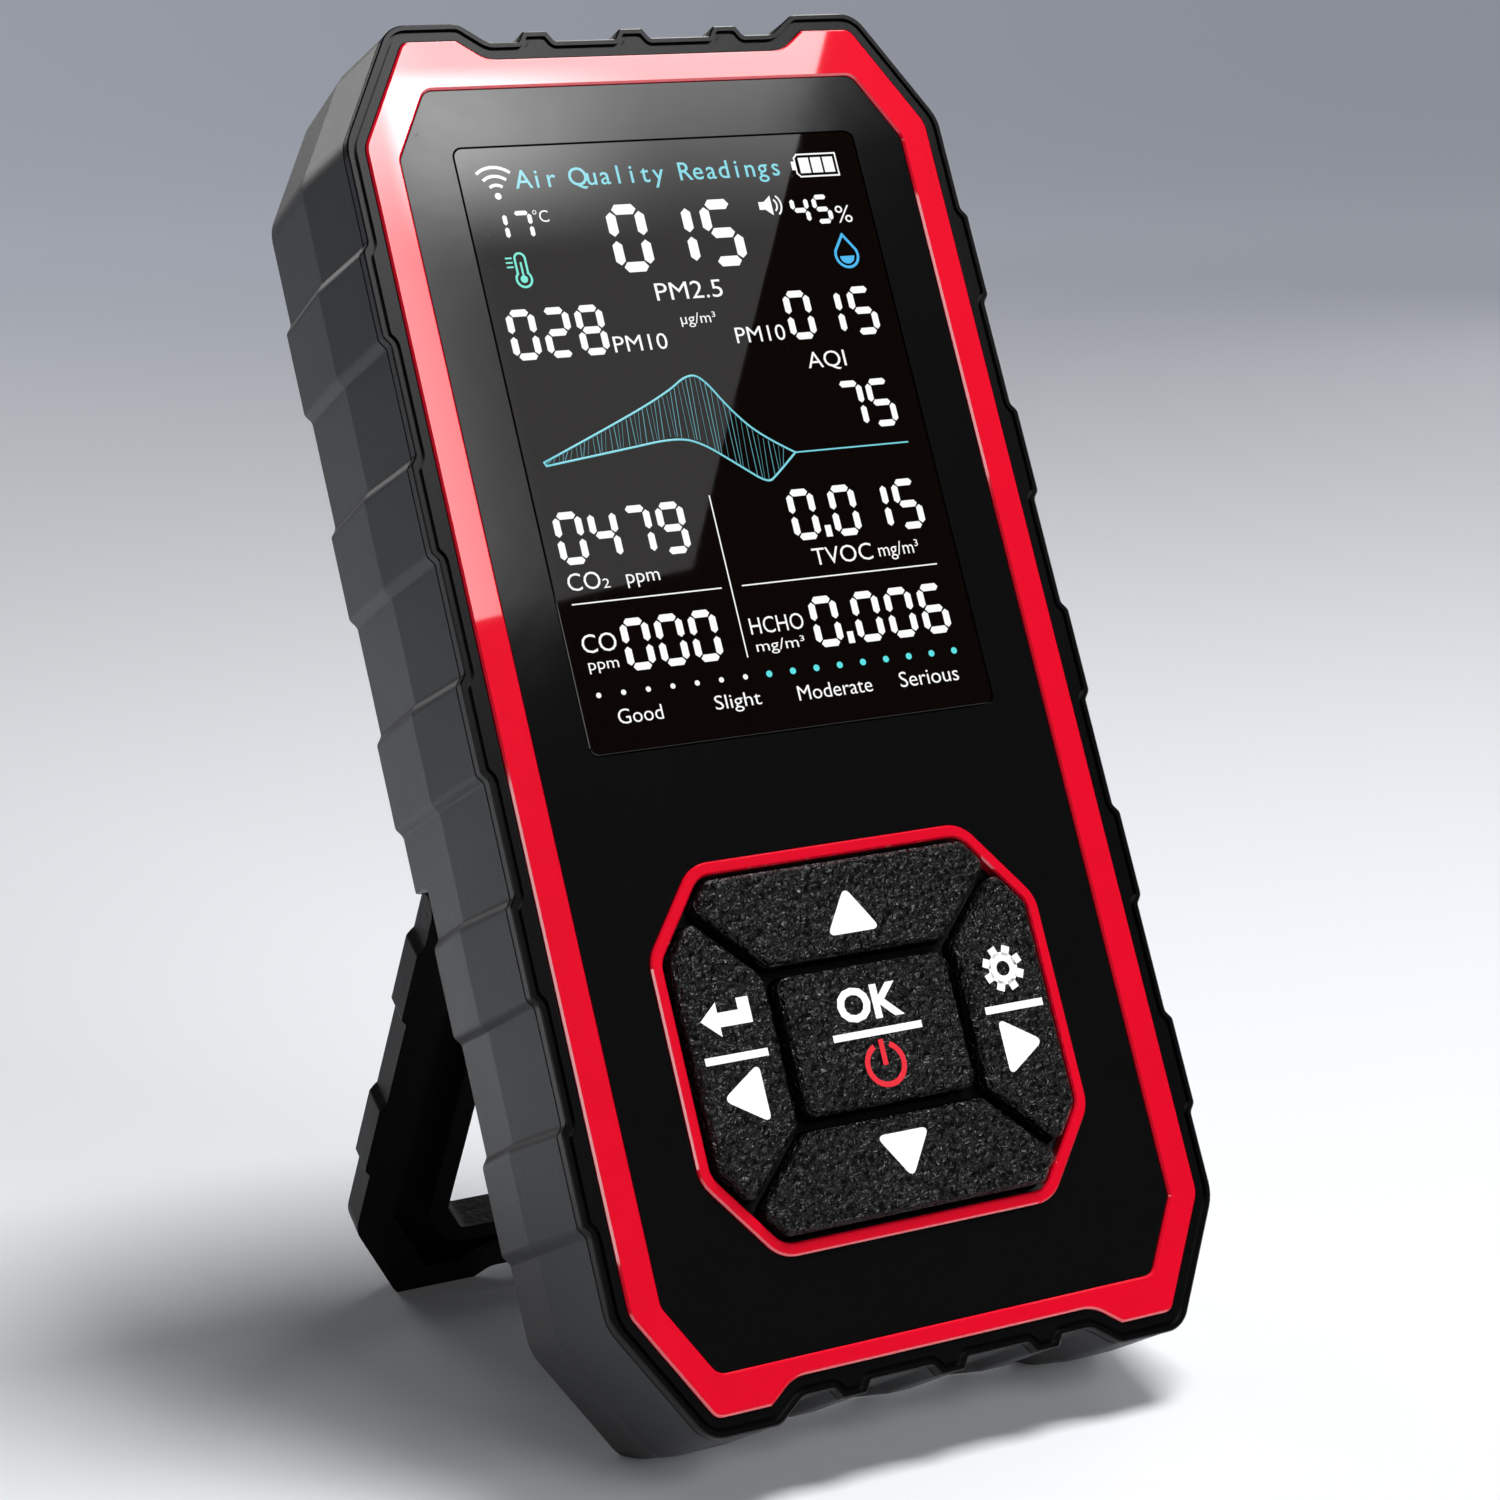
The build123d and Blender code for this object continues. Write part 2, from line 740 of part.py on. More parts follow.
# One switch under each key
with BuildPart() as key_switches:
    for centre in key_centres:
        add(block(centre.X, centre.Y, switch_size, switch_size, board_front + switch_height, board_front))
        add(disc(centre.X, centre.Y, plunger_radius, membrane_back - seat_gap, board_front))
finish(key_switches, "key_switches")

# Main board
board = octagon(board_half_width, board_bottom, board_top, board_cut, board_cut, small_round)
with BuildPart() as main_board:
    add(slab(board, board_front, board_back))
    for hole_u, hole_v in standoff_places:
        add(disc(hole_u, hole_v, board_screw_radius + screw_hole_gap, board_front, board_back),
            mode=Mode.SUBTRACT)
finish(main_board, "main_board")

# Parts on the back of the main board
with BuildPart() as particle_sensor:
    fan_floor = particle_back + fan_depth + 2 * fan_pocket_gap
    add(block(particle_u, particle_v, particle_size, particle_size, mounted, particle_back, particle_round))
    add(disc(fan_u, fan_v, fan_radius + fan_pocket_gap, fan_floor, particle_back), mode=Mode.SUBTRACT)
    add(disc(fan_u, fan_v, fan_shaft_radius, fan_floor, particle_back))
    inlet_u = particle_u - particle_size / 4
    add(block(inlet_u, fan_v, inlet_width, inlet_height, fan_floor, particle_back, particle_round),
        mode=Mode.SUBTRACT)
    laser_start = particle_u - particle_size / 2
    laser_w = (mounted + particle_back) / 2
    with BuildSketch(side.offset(laser_start)):
        with Locations((laser_v, laser_w)):
            Circle(laser_radius)
    extrude(amount=laser_length, mode=Mode.SUBTRACT)
finish(particle_sensor, "particle_sensor")

with BuildPart() as particle_laser:
    with BuildSketch(side.offset(laser_start)):
        with Locations((laser_v, laser_w)):
            Circle(laser_radius - seat_gap)
    extrude(amount=laser_length)
finish(particle_laser, "particle_laser")

with BuildPart() as sensor_fan:
    fan_back = particle_back + fan_pocket_gap
    with BuildSketch(face.offset(fan_back)):
        with Locations((fan_u, fan_v)):
            Circle(fan_hub_radius)
            with PolarLocations(0, fan_blades):
                with Locations(Location((fan_hub_radius, 0), fan_blade_sweep)):
                    Rectangle(fan_radius - fan_hub_radius, fan_blade_thickness, align=(Align.MIN, Align.CENTER))
            Circle(fan_shaft_radius + fan_running_fit, mode=Mode.SUBTRACT)
    extrude(amount=fan_depth)
finish(sensor_fan, "sensor_fan")

with BuildPart() as carbon_dioxide_sensor:
    add(block(carbon_dioxide_u, carbon_dioxide_v, carbon_dioxide_width, carbon_dioxide_height, mounted,
              mounted - carbon_dioxide_depth, particle_round))
    can_back = mounted - carbon_dioxide_depth
    with BuildSketch(face.offset(can_back)):
        with Locations((carbon_dioxide_u, carbon_dioxide_v)):
            with GridLocations(carbon_dioxide_width / 3, carbon_dioxide_height / 4, 2, 3):
                Circle(can_port_radius)
    extrude(amount=can_port_depth, mode=Mode.SUBTRACT)
finish(carbon_dioxide_sensor, "carbon_dioxide_sensor")


def gas_can(centre_u, centre_v, radius, depth):
    """A round gas sensor with a stepped lid and one breathing hole."""
    with BuildPart() as can:
        add(disc(centre_u, centre_v, radius, mounted, mounted - depth + can_lip))
        add(disc(centre_u, centre_v, radius - can_lip, mounted, mounted - depth))
        add(disc(centre_u, centre_v, can_port_radius, mounted - depth + can_port_depth, mounted - depth),
            mode=Mode.SUBTRACT)
    return can


finish(gas_can(formaldehyde_u, formaldehyde_v, formaldehyde_radius, formaldehyde_depth),
       "formaldehyde_sensor")
finish(gas_can(carbon_monoxide_u, carbon_monoxide_v, carbon_monoxide_radius, carbon_monoxide_depth),
       "carbon_monoxide_sensor")

with BuildPart() as voc_sensor:
    add(block(voc_u, voc_v, voc_size, voc_size, mounted, mounted - chip_depth, small_round))
    add(disc(voc_u, voc_v, can_port_radius, mounted - chip_depth + can_port_depth, mounted - chip_depth),
        mode=Mode.SUBTRACT)
finish(voc_sensor, "voc_sensor")

with BuildPart() as humidity_sensor:
    add(block(humidity_u, humidity_v, humidity_size, humidity_size, mounted, mounted - chip_depth,
              small_round))
    add(disc(humidity_u, humidity_v, can_port_radius / 2, mounted - chip_depth + can_port_depth,
             mounted - chip_depth), mode=Mode.SUBTRACT)
finish(humidity_sensor, "humidity_sensor")

with BuildPart() as wifi_module:
    add(block(wifi_u, wifi_v, wifi_size, wifi_size, mounted, mounted - wifi_board))
    add(block(wifi_u, wifi_v - wifi_antenna / 2, wifi_size - 2 * wifi_can_margin, wifi_size - wifi_antenna
              - 2 * wifi_can_margin, mounted - wifi_board, mounted - wifi_board - wifi_can_depth, small_round))
finish(wifi_module, "wifi_module")

with BuildPart() as alarm_buzzer:
    add(disc(buzzer_u, buzzer_v, buzzer_radius, mounted, mounted - buzzer_depth))
    add(disc(buzzer_u, buzzer_v, buzzer_hole, mounted - buzzer_depth / 2, mounted - buzzer_depth),
        mode=Mode.SUBTRACT)
finish(alarm_buzzer, "alarm_buzzer")

battery_middle = (battery_top + battery_bottom) / 2
with BuildPart() as battery:
    add(block(0, battery_middle, 2 * battery_half_width, battery_top - battery_bottom, mounted,
              mounted - battery_depth, battery_round))
finish(battery, "battery")

with BuildPart() as battery_pad:
    add(block(0, battery_middle, 2 * battery_half_width, battery_top - battery_bottom,
              mounted - battery_depth, shell_back_lower + shell_wall, battery_round))
finish(battery_pad, "battery_pad")

with BuildPart() as charging_port:
    add(port_shape(0, port_mouth - port_length, port_length))
    add(port_shape(-port_wall, port_mouth - port_length + port_wall, port_length), mode=Mode.SUBTRACT)
    with BuildSketch(side.offset(port_mouth - port_length)):
        with Locations((port_v, port_w)):
            Rectangle(2 * (port_half_width - 3 * port_wall), port_tongue)
    extrude(amount=port_length - 3 * port_wall)
finish(charging_port, "charging_port")

# Screws that hold the board to the front shell
with BuildPart() as board_screws:
    for screw_u, screw_v in standoff_places:
        add(disc(screw_u, screw_v, board_screw_head, board_back, board_back - board_screw_head_height))
        add(disc(screw_u, screw_v, board_screw_radius, board_front + board_screw_length - screw_hole_gap,
                 board_back))
finish(board_screws, "board_screws")

# Screws that hold the two shells together
with BuildPart() as case_screws:
    for screw_u, screw_v, cover_back in screw_places:
        head_front = cover_back + screw_head_height
        add(disc(screw_u, screw_v, screw_head_radius, head_front, cover_back + back_recess))
        add(disc(screw_u, screw_v, screw_radius, shell_joint + screw_bite - screw_hole_gap, head_front))
        with BuildSketch(face.offset(cover_back)):
            with Locations((screw_u, screw_v)):
                RegularPolygon(screw_driver, 6)
        extrude(amount=back_recess + screw_driver_depth, mode=Mode.SUBTRACT)
finish(case_screws, "case_screws")

# Dust filter behind the vents, and the blank rating plate
with BuildPart() as vent_filter:
    add(block(0, vent_v, 2 * (vent_half_length + filter_margin),
              (vent_rows - 1) * vent_pitch + vent_slot + 2 * filter_margin,
              cover_inside_upper + filter_thickness, cover_inside_upper))
finish(vent_filter, "vent_filter")

with BuildPart() as rating_plate:
    add(block(0, plate_v, 2 * plate_half_width, 2 * plate_half_height, cover_back_upper + plate_depth,
              cover_back_upper, plate_round))
finish(rating_plate, "rating_plate")

# Hinge pins
with BuildPart() as hinge_pins:
    for across in (1, -1):
        with BuildSketch(side.offset(across * ear_u - pin_length / 2)):
            with Locations((hinge_v, hinge_w)):
                Circle(pin_radius)
        extrude(amount=pin_length)
finish(hinge_pins, "hinge_pins")


# Kickstand, drawn closed against the back and placed open by its own planes
def stand_body():
    """The whole stand with its grip, knuckle end and slope, before it is divided."""
    with BuildPart() as body:
        with BuildSketch(stand_side.offset(-outline_margin - case_half_width)):
            with Locations((hinge_v, hinge_w)):
                Circle(knuckle_radius)
            with BuildLine():
                Polyline((stand_bevel_v, stand_inner), (-lug_height - outline_margin, stand_inner),
                         (-lug_height - outline_margin, back_upper), (stand_bevel_v, back_upper), close=True)
            make_face()
            make_hull()
        extrude(amount=2 * (outline_margin + case_half_width))
        add(case_body(stand_face), mode=Mode.INTERSECT)
        add(ground, mode=Mode.SUBTRACT)
    return body.part


def stand_slab(corners, front, back, hole=None):
    """A plate with that outline between two depths of the closed stand."""
    with BuildPart() as plate:
        extrude(outline(stand_face.offset(back), corners, hole), amount=front - back)
    return plate.part


def stand_recess():
    """The pocket in the inner side of the stand, which leaves its band and a lip round its opening."""
    with BuildPart() as recess:
        add(stand_slab(inset(plain_case, stand_band), stand_inner + outline_margin,
                       stand_inner - stand_pocket_depth, hole=inset(opening_shape, -stand_lip)))
        add(stand_slab(pocket_zone, stand_inner + outline_margin, stand_inner - stand_pocket_depth),
            mode=Mode.INTERSECT)
    return recess.part


grip_low = -lug_height - outline_margin
grip_zone = octagon(case_half_width + outline_margin, grip_low, grip_top, small_round, small_round, 0)
core = inset(plain_case, grip_wall)
opening_shape = octagon(stand_opening_half_width, stand_opening_bottom, stand_opening_top,
                        stand_opening_cut_u, stand_opening_cut_v, stand_opening_round)
pocket_zone = octagon(case_half_width, grip_low, stand_pocket_top, small_round, small_round, 0)
whole_stand = stand_body()

with BuildPart() as stand_grip:
    add(whole_stand)
    add(stand_slab(grip_zone, 0, back_upper - outline_margin), mode=Mode.INTERSECT)
    add(stand_slab(core, 0, back_upper - outline_margin), mode=Mode.SUBTRACT)
finish(stand_grip, "stand_grip")

with BuildPart() as kickstand:
    add(whole_stand)
    add(stand_grip.part, mode=Mode.SUBTRACT)
    add(stand_recess(), mode=Mode.SUBTRACT)
    add(stand_slab(opening_shape, stand_inner + outline_margin, back_upper - outline_margin),
        mode=Mode.SUBTRACT)
    for across in (1, -1):
        with BuildSketch(stand_face.offset(back_upper - outline_margin)):
            with Locations((across * ear_u, (hinge_v + knuckle_radius + stand_gap + ear_pocket_v) / 2)):
                Rectangle(ear_width + 2 * ear_fit, hinge_v + knuckle_radius + stand_gap - ear_pocket_v)
        extrude(amount=2 * outline_margin, mode=Mode.SUBTRACT)
        with BuildSketch(stand_side.offset(across * ear_u - pin_length / 2 - pin_running_fit)):
            with Locations((hinge_v, hinge_w)):
                Circle(pin_radius + pin_running_fit)
        extrude(amount=pin_length + 2 * pin_running_fit, mode=Mode.SUBTRACT)
finish(kickstand, "kickstand")
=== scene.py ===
"""Looks of a handheld air quality monitor: finishes, screen read-outs, key symbols and stage."""

import json
from math import cos, pi, radians, sin

import bmesh
import bpy
from bpy.props import FloatProperty, FloatVectorProperty, PointerProperty
from mathutils import Matrix, Quaternion, Vector


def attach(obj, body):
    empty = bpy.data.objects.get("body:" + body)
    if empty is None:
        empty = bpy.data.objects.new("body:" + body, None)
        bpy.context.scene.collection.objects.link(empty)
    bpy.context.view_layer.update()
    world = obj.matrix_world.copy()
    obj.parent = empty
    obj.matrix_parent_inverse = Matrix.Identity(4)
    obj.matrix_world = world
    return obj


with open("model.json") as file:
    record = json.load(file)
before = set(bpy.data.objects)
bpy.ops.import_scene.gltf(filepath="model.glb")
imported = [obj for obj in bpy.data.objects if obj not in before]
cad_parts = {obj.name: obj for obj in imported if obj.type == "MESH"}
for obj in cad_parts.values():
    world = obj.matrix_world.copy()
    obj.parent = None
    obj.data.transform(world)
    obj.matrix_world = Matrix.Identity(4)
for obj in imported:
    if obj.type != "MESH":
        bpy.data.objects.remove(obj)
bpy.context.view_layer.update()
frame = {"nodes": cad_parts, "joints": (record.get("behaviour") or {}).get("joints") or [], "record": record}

bl_info = {
    "name": "Air Quality Monitor",
    "version": (1, 0, 0),
    "blender": (4, 5, 0),
    "location": "View3D > Sidebar > Monitor",
    "description": "Finishes, read-outs, key symbols and stage of a handheld air quality monitor",
    "category": "Object",
}

MM = 0.001
ROOT = "case"

# Read-outs in millimetres, x across and y up from the middle of the face.
# Digits: text, left edges, bottom, top, width and stroke.
DIGIT_ROWS = (
    ("015", (-8.4, -2.75, 3.0), 46.0, 53.7, 4.6, 1.15),
    ("028", (-22.8, -18.8, -14.8), 37.1, 42.7, 3.3, 0.78),
    ("015", (10.6, 14.5, 18.7), 37.1, 42.7, 3.3, 0.78),
    ("75", (14.5, 18.2), 26.5, 32.0, 3.2, 0.72),
    ("0479", (-22.8, -18.8, -14.8, -10.8), 14.7, 20.4, 3.3, 0.78),
    ("0015", (5.1, 10.2, 14.3, 18.3), 14.7, 20.4, 3.3, 0.78),
    ("000", (-18.0, -14.0, -10.0), 2.8, 8.4, 3.3, 0.8),
    ("0006", (4.6, 9.8, 14.0, 18.2), 2.8, 8.4, 3.4, 0.8),
    ("17", (-22.3, -19.4), 50.3, 53.6, 2.3, 0.5),
    ("45", (14.4, 17.2), 50.2, 53.6, 2.3, 0.55),
)
# Labels: text, left, bottom, right and top.
LABELS = (
    ("°C", -16.9, 52.2, -15.1, 53.6),
    ("%", 19.9, 50.2, 21.9, 52.2),
    ("PM2.5", -4.6, 42.6, 3.5, 44.6),
    ("µg/m³", -2.4, 39.4, 1.9, 41.0),
    ("PM10", -11.0, 37.2, -4.6, 39.0),
    ("PM10", 3.8, 37.2, 9.9, 39.0),
    ("AQI", 11.8, 33.4, 16.6, 35.6),
    ("CO", -22.7, 11.9, -18.9, 13.8),
    ("2", -18.7, 11.9, -17.9, 12.9),
    ("ppm", -15.9, 11.6, -12.0, 13.1),
    ("TVOC", 6.6, 11.8, 14.0, 13.7),
    ("mg/m³", 14.8, 11.5, 19.9, 13.5),
    ("CO", -22.7, 5.2, -18.7, 7.2),
    ("ppm", -22.5, 3.0, -19.0, 4.2),
    ("HCHO", -2.9, 5.1, 3.6, 6.9),
    ("mg/m³", -2.7, 2.8, 3.2, 4.4),
    ("Good", -20.5, -2.6, -15.3, -1.0),
    ("Slight", -9.1, -2.9, -3.6, -0.9),
    ("Moderate", 0.9, -2.6, 10.0, -1.0),
    ("Serious", 13.5, -2.6, 20.9, -0.9),
)
LABEL_WEIGHT = -0.004
TITLE = "Air Quality Readings"
TITLE_WEIGHT = 0.012
RULE = 0.14                 # width of the dividing lines
CURVE = 0.22                # width of the graph's outline
CREST = [(-22.2, 25.9), (-12.5, 29.6), (-6.0, 32.4), (-3.4, 34.1), (-1.6, 33.9), (1.0, 29.8),
         (4.0, 26.6), (7.6, 24.5)]
TROUGH = [(-22.0, 25.5), (-13.0, 26.5), (-6.5, 27.3), (-3.5, 26.6), (0.5, 23.6), (3.4, 21.4),
          (4.6, 22.1), (7.6, 24.5)]
HATCHES = 52
HATCHED_FROM = -21.4
HATCHED_WIDTH = 28.2
FIRST_DOT, DOT_HEIGHT, DOT_PITCH = -22.1, 0.7, 2.88
WHITE_DOTS, ALL_DOTS = 7, 16
WIRELESS = (-20.4, 55.4)
WIRELESS_DOT = 0.38
SPEAKER = (11.9, 52.65)
BULB = (-19.6, 46.0)
DROP = (20.0, 46.4)

# Print on the keys, in the same millimetres
ARROW_CORNER = 0.9
BAR_LOW, BAR_HIGH = -38.85, -38.05
GEAR = (16.6, -34.3)
GEAR_TEETH = 8
POWER = (0.0, -41.9)

# The stage in metres
OBJECT_MIDDLE = (0.0, 0.0, 0.07)
FLOOR_RADIUS = 14.0
SOFTBOX_DISTANCE = 0.656    # out of the front face
SOFTBOX_CORNERS = ((0.3576, 0.1848), (0.5526, 0.5448), (-0.25, 0.9), (-0.30, 0.106))
SENSOR_WIDTH = 36.0         # of the camera, in millimetres
NEAREST, FARTHEST = 0.01, 50.0


# ---------------------------------------------------------------- places on the case


def reach(node, direction):
    """Least and greatest distance of a CAD node along a direction."""
    along = [vertex.co.dot(direction) for vertex in frame["nodes"][node].data.vertices]
    return min(along), max(along)


JOINTS = {joint["name"]: joint for joint in frame["joints"]}
ACROSS = Vector((1, 0, 0))
OUT = -Vector(JOINTS["press_ok"]["axis"])
UP = OUT.cross(ACROSS)


def face_frame(lift, drop):
    """Millimetre frame on the front: x across, y up the face, z out, lifted off the face by `lift`.

    Its origin is `drop` above the bottom edge of the screen lens.
    """
    left, right = reach("screen_lens", ACROSS)
    origin = ACROSS * (left + right) / 2 + UP * (reach("screen_lens", UP)[0] + drop) + OUT * lift
    columns = Matrix((ACROSS, UP, OUT)).transposed().to_4x4()
    return Matrix.Translation(origin) @ columns @ Matrix.Scale(MM, 4)


# ---------------------------------------------------------------- sizes and colours


def colour(name, description, value):
    """A colour property without alpha."""
    return FloatVectorProperty(name=name, description=description, default=value, subtype="COLOR",
                               size=3, min=0.0, max=1.0)


def length(name, description, value):
    """A length property in metres."""
    return FloatProperty(name=name, description=description, default=value, unit="LENGTH", min=0.0)


class MonitorFinishes(bpy.types.PropertyGroup):
    """Colours of the case and of what is inside it"""

    rubber: colour("Boot rubber", "Rubber of the boot", (0.030, 0.0305, 0.0317))
    rim: colour("Rim", "Glossy rim round the front", (0.002, 0.002, 0.0023))
    # Painted shade: the grip is the boot rubber made darker, so the stand looks shaded.
    grip: colour("Grip rubber", "Rubber of the stand's grip", (0.0035, 0.0035, 0.0038))
    back: colour("Back plastic", "Textured plastic of the back and of the stand", (0.003, 0.003, 0.0032))
    red: colour("Red gloss", "Bezel and keypad ring", (0.79, 0.0003, 0.019))
    panel: colour("Front panel", "Glossy black panel", (0.003, 0.003, 0.0031))
    lens: colour("Screen lens", "Black glass over the display", (0.0025, 0.0010, 0.0005))
    keys: colour("Keys", "Grained rubber of the keys", (0.0008, 0.0008, 0.0009))


class MonitorScreen(bpy.types.PropertyGroup):
    """Read-outs and symbols on the front"""

    white: colour("White read-outs", "Digits and labels", (1.0, 1.0, 1.0))
    cyan: colour("Title and graph", "Title and outline of the graph", (0.20, 0.66, 0.76))
    teal: colour("Thermometer", "Temperature symbol", (0.20, 0.85, 0.70))
    blue: colour("Drop", "Humidity symbol", (0.08, 0.50, 0.90))
    power: colour("Power symbol", "Red print on the middle key", (0.75, 0.004, 0.02))
    print_white: colour("Key print", "White print on the keys", (1.0, 1.0, 1.0))
    drop: length("Screen drop", "From the middle of the face to the bottom edge of the lens", 0.0056)
    glow: FloatProperty(name="Glow", description="Brightness of the lit read-outs", default=1.0, min=0.0)
    ink: length("Ink", "Thickness of the read-outs and the print, half of it proud", 0.00003)


class MonitorStage(bpy.types.PropertyGroup):
    """Camera, floor and lights"""

    camera_place: FloatVectorProperty(
        name="Camera place", description="Camera across, up and out of the face, from its middle",
        default=(-0.19079, -0.07289, 0.328), subtype="TRANSLATION", unit="LENGTH")
    camera_aim: FloatVectorProperty(
        name="Camera aim", description="Point of the face in the middle of the picture",
        default=(-0.00632, -0.00709, 0.0), subtype="TRANSLATION", unit="LENGTH")
    camera_roll: FloatProperty(name="Camera roll", description="Turn about the line of sight",
                               default=radians(-0.904), unit="ROTATION")
    camera_lens: FloatProperty(name="Focal length", description="Focal length in millimetres",
                               default=88.2, min=1.0)
    # Painted light on the floor: lighter near the object, darker far off.
    floor_lit_near: colour("Near floor", "Floor under the object", (0.75, 0.765, 0.79))
    floor_shaded_far: colour("Far floor", "Floor far behind the object", (0.235, 0.25, 0.29))
    fade: length("Floor fade", "Distance over which the floor darkens", 1.4)


# ---------------------------------------------------------------- shader building


class Wire:
    """A number socket that can stand in arithmetic. Each operation adds one Math node."""

    def __init__(self, finish, socket):
        self.finish = finish
        self.socket = socket

    def math(self, operation, first, second):
        settings = {"operation": operation}
        return self.finish.node("ShaderNodeMath", settings, {0: first, 1: second}).wire()

    def __add__(self, other):
        return self.math("ADD", self, other)

    def __radd__(self, other):
        return self.math("ADD", other, self)

    def __sub__(self, other):
        return self.math("SUBTRACT", self, other)

    def __rsub__(self, other):
        return self.math("SUBTRACT", other, self)

    def __mul__(self, other):
        return self.math("MULTIPLY", self, other)

    def __rmul__(self, other):
        return self.math("MULTIPLY", other, self)

    def __pow__(self, other):
        return self.math("POWER", self, other)


class Added:
    """A node that was just added, with short ways to its outputs."""

    def __init__(self, finish, node):
        self.finish = finish
        self.node = node

    def wire(self, output=0):
        return Wire(self.finish, self.node.outputs[output])


class Finish:
    """One material under construction, on Object coordinates."""

    def __init__(self, name):
        self.material = bpy.data.materials.new(name)
        self.material.use_nodes = True
        self.tree = self.material.node_tree
        self.tree.nodes.clear()
        self.place = self.node("ShaderNodeTexCoord").wire("Object")

    def node(self, kind, settings=None, values=None):
        """Add a node: its settings first, then the values or wires of its sockets."""
        node = self.tree.nodes.new(kind)
        for name, value in (settings or {}).items():
            setattr(node, name, value)
        for name, value in (values or {}).items():
            if isinstance(value, Wire):
                self.tree.links.new(value.socket, node.inputs[name])
            else:
                node.inputs[name].default_value = value
        return Added(self, node)

    def noise(self, grain, detail=3.0, roughness=0.55, distortion=0.0):
        """Noise with features of about `grain` metres, from 0 to 1."""
        values = {"Vector": self.place, "Scale": 1.0 / grain, "Detail": detail, "Roughness": roughness,
                  "Distortion": distortion}
        return self.node("ShaderNodeTexNoise", None, values).wire("Fac")

    def cells(self, grain, feature="F1"):
        """Distance to the nearest cell centre or edge, cells of about `grain` metres."""
        values = {"Vector": self.place, "Scale": 1.0 / grain}
        return self.node("ShaderNodeTexVoronoi", {"feature": feature}, values).wire("Distance")

    def ramp(self, value, low, high):
        """0 below `low`, 1 above `high`, smooth in between."""
        values = {"Value": value, "From Min": low, "From Max": high}
        settings = {"interpolation_type": "SMOOTHSTEP"}
        return self.node("ShaderNodeMapRange", settings, values).wire("Result")

    def between(self, share, first, second):
        """A colour from `first` to `second`."""
        factor, start, end, result = 0, 6, 7, 2     # sockets of a Mix node set to colours
        values = {factor: share, start: (*first, 1.0), end: (*second, 1.0)}
        return self.node("ShaderNodeMix", {"data_type": "RGBA"}, values).wire(result)

    def bump(self, height, depth):
        """A Normal from a height from 0 to 1 that is worth `depth` metres."""
        values = {"Height": height, "Distance": depth, "Strength": 1.0}
        return self.node("ShaderNodeBump", None, values).wire("Normal")

    def close(self, constants, changing):
        """Finish with a Principled shader: sockets that never vary, then those that do."""
        shader = self.node("ShaderNodeBsdfPrincipled", None, {**constants, **changing})
        self.node("ShaderNodeOutputMaterial", None, {"Surface": shader.wire("BSDF")})
        return self.material


def shade(tone, factor):
    """A colour made lighter or darker."""
    return tuple(min(1.0, channel * factor) for channel in tone)


def moulded(name, tone, rough, grain, depth, spread=0.25, mottle=0.012, metallic=0.0, shine=0.5):
    """Moulded plastic, rubber or metal: fine grain, slow mottling and a little handling dust."""
    finish = Finish(name)
    fine = finish.noise(grain, 4.0, 0.6)
    slow = finish.noise(mottle, 3.0, 0.5)
    dust = finish.ramp(finish.noise(grain * 2.5, 2.0, 0.7), 0.66, 0.82)
    share = fine * 0.5 + slow * 0.5
    changing = {
        "Base Color": finish.between(share + dust * 0.12, shade(tone, 1 - spread), shade(tone, 1 + spread)),
        "Roughness": rough - 0.06 + slow * 0.1 + dust * 0.04,
        "Normal": finish.bump(fine, depth),
    }
    constants = {"Metallic": metallic, "Specular IOR Level": shine}
    return finish.close(constants, changing)


def glossy(name, tone, rough, coat, waviness=0.000004, coat_ior=1.5, shine=0.5):
    """Glossy lacquered plastic: faint orange peel, wipe marks and specks in the gloss."""
    finish = Finish(name)
    peel = finish.noise(0.0035, 1.0, 0.4)
    wipes = finish.ramp(finish.noise(0.02, 3.0, 0.6, 1.5), 0.45, 0.8)
    specks = finish.ramp(finish.noise(0.0006, 1.0, 0.5), 0.74, 0.8)
    changing = {
        "Base Color": finish.between(peel * 0.6 + wipes * 0.4, shade(tone, 0.93), shade(tone, 1.05)),
        "Roughness": rough + wipes * 0.02 + specks * 0.06,
        "Normal": finish.bump(peel, waviness),
    }
    constants = {
        "Coat Weight": coat,
        "Coat Roughness": 0.02,
        "Coat IOR": coat_ior,
        "Specular IOR Level": shine,
    }
    return finish.close(constants, changing)


def leather(name, tone):
    """Key rubber with a pebbled leather grain."""
    finish = Finish(name)
    creases = finish.noise(0.0008, 2.5, 0.5, 0.6)
    pebbles = finish.cells(0.0008)
    slow = finish.noise(0.006, 2.0, 0.5)
    height = finish.ramp(creases, 0.36, 0.64) * 0.65 + (1 - pebbles) * 0.35
    changing = {
        "Base Color": finish.between(height * 0.8 + slow * 0.2, shade(tone, 0.4), shade(tone, 1.7)),
        "Roughness": 0.27 + slow * 0.06,
        "Normal": finish.bump(height, 0.00045),
    }
    return finish.close({"Specular IOR Level": 0.24}, changing)


def lit(name, tone, glow):
    """A lit read-out as glossy as the lens, a little uneven like a real display."""
    finish = Finish(name)
    grain = finish.noise(0.00035, 1.0, 0.5)
    share = grain * 0.5 + 0.25
    changing = {
        "Base Color": finish.between(share, shade(tone, 0.02), shade(tone, 0.03)),
        "Emission Color": finish.between(share, shade(tone, 0.9), tone),
        "Roughness": 0.05 + grain * 0.02,
    }
    return finish.close({"Emission Strength": glow, "Coat Weight": 0.0}, changing)


def printed(name, tone):
    """Print on a key: matt ink with a slight tooth."""
    finish = Finish(name)
    tooth = finish.noise(0.0003, 2.0, 0.6)
    changing = {
        "Base Color": finish.between(tooth, shade(tone, 0.92), tone),
        "Roughness": 0.42 + tooth * 0.15,
        "Normal": finish.bump(tooth, 0.00001),
    }
    return finish.close({}, changing)


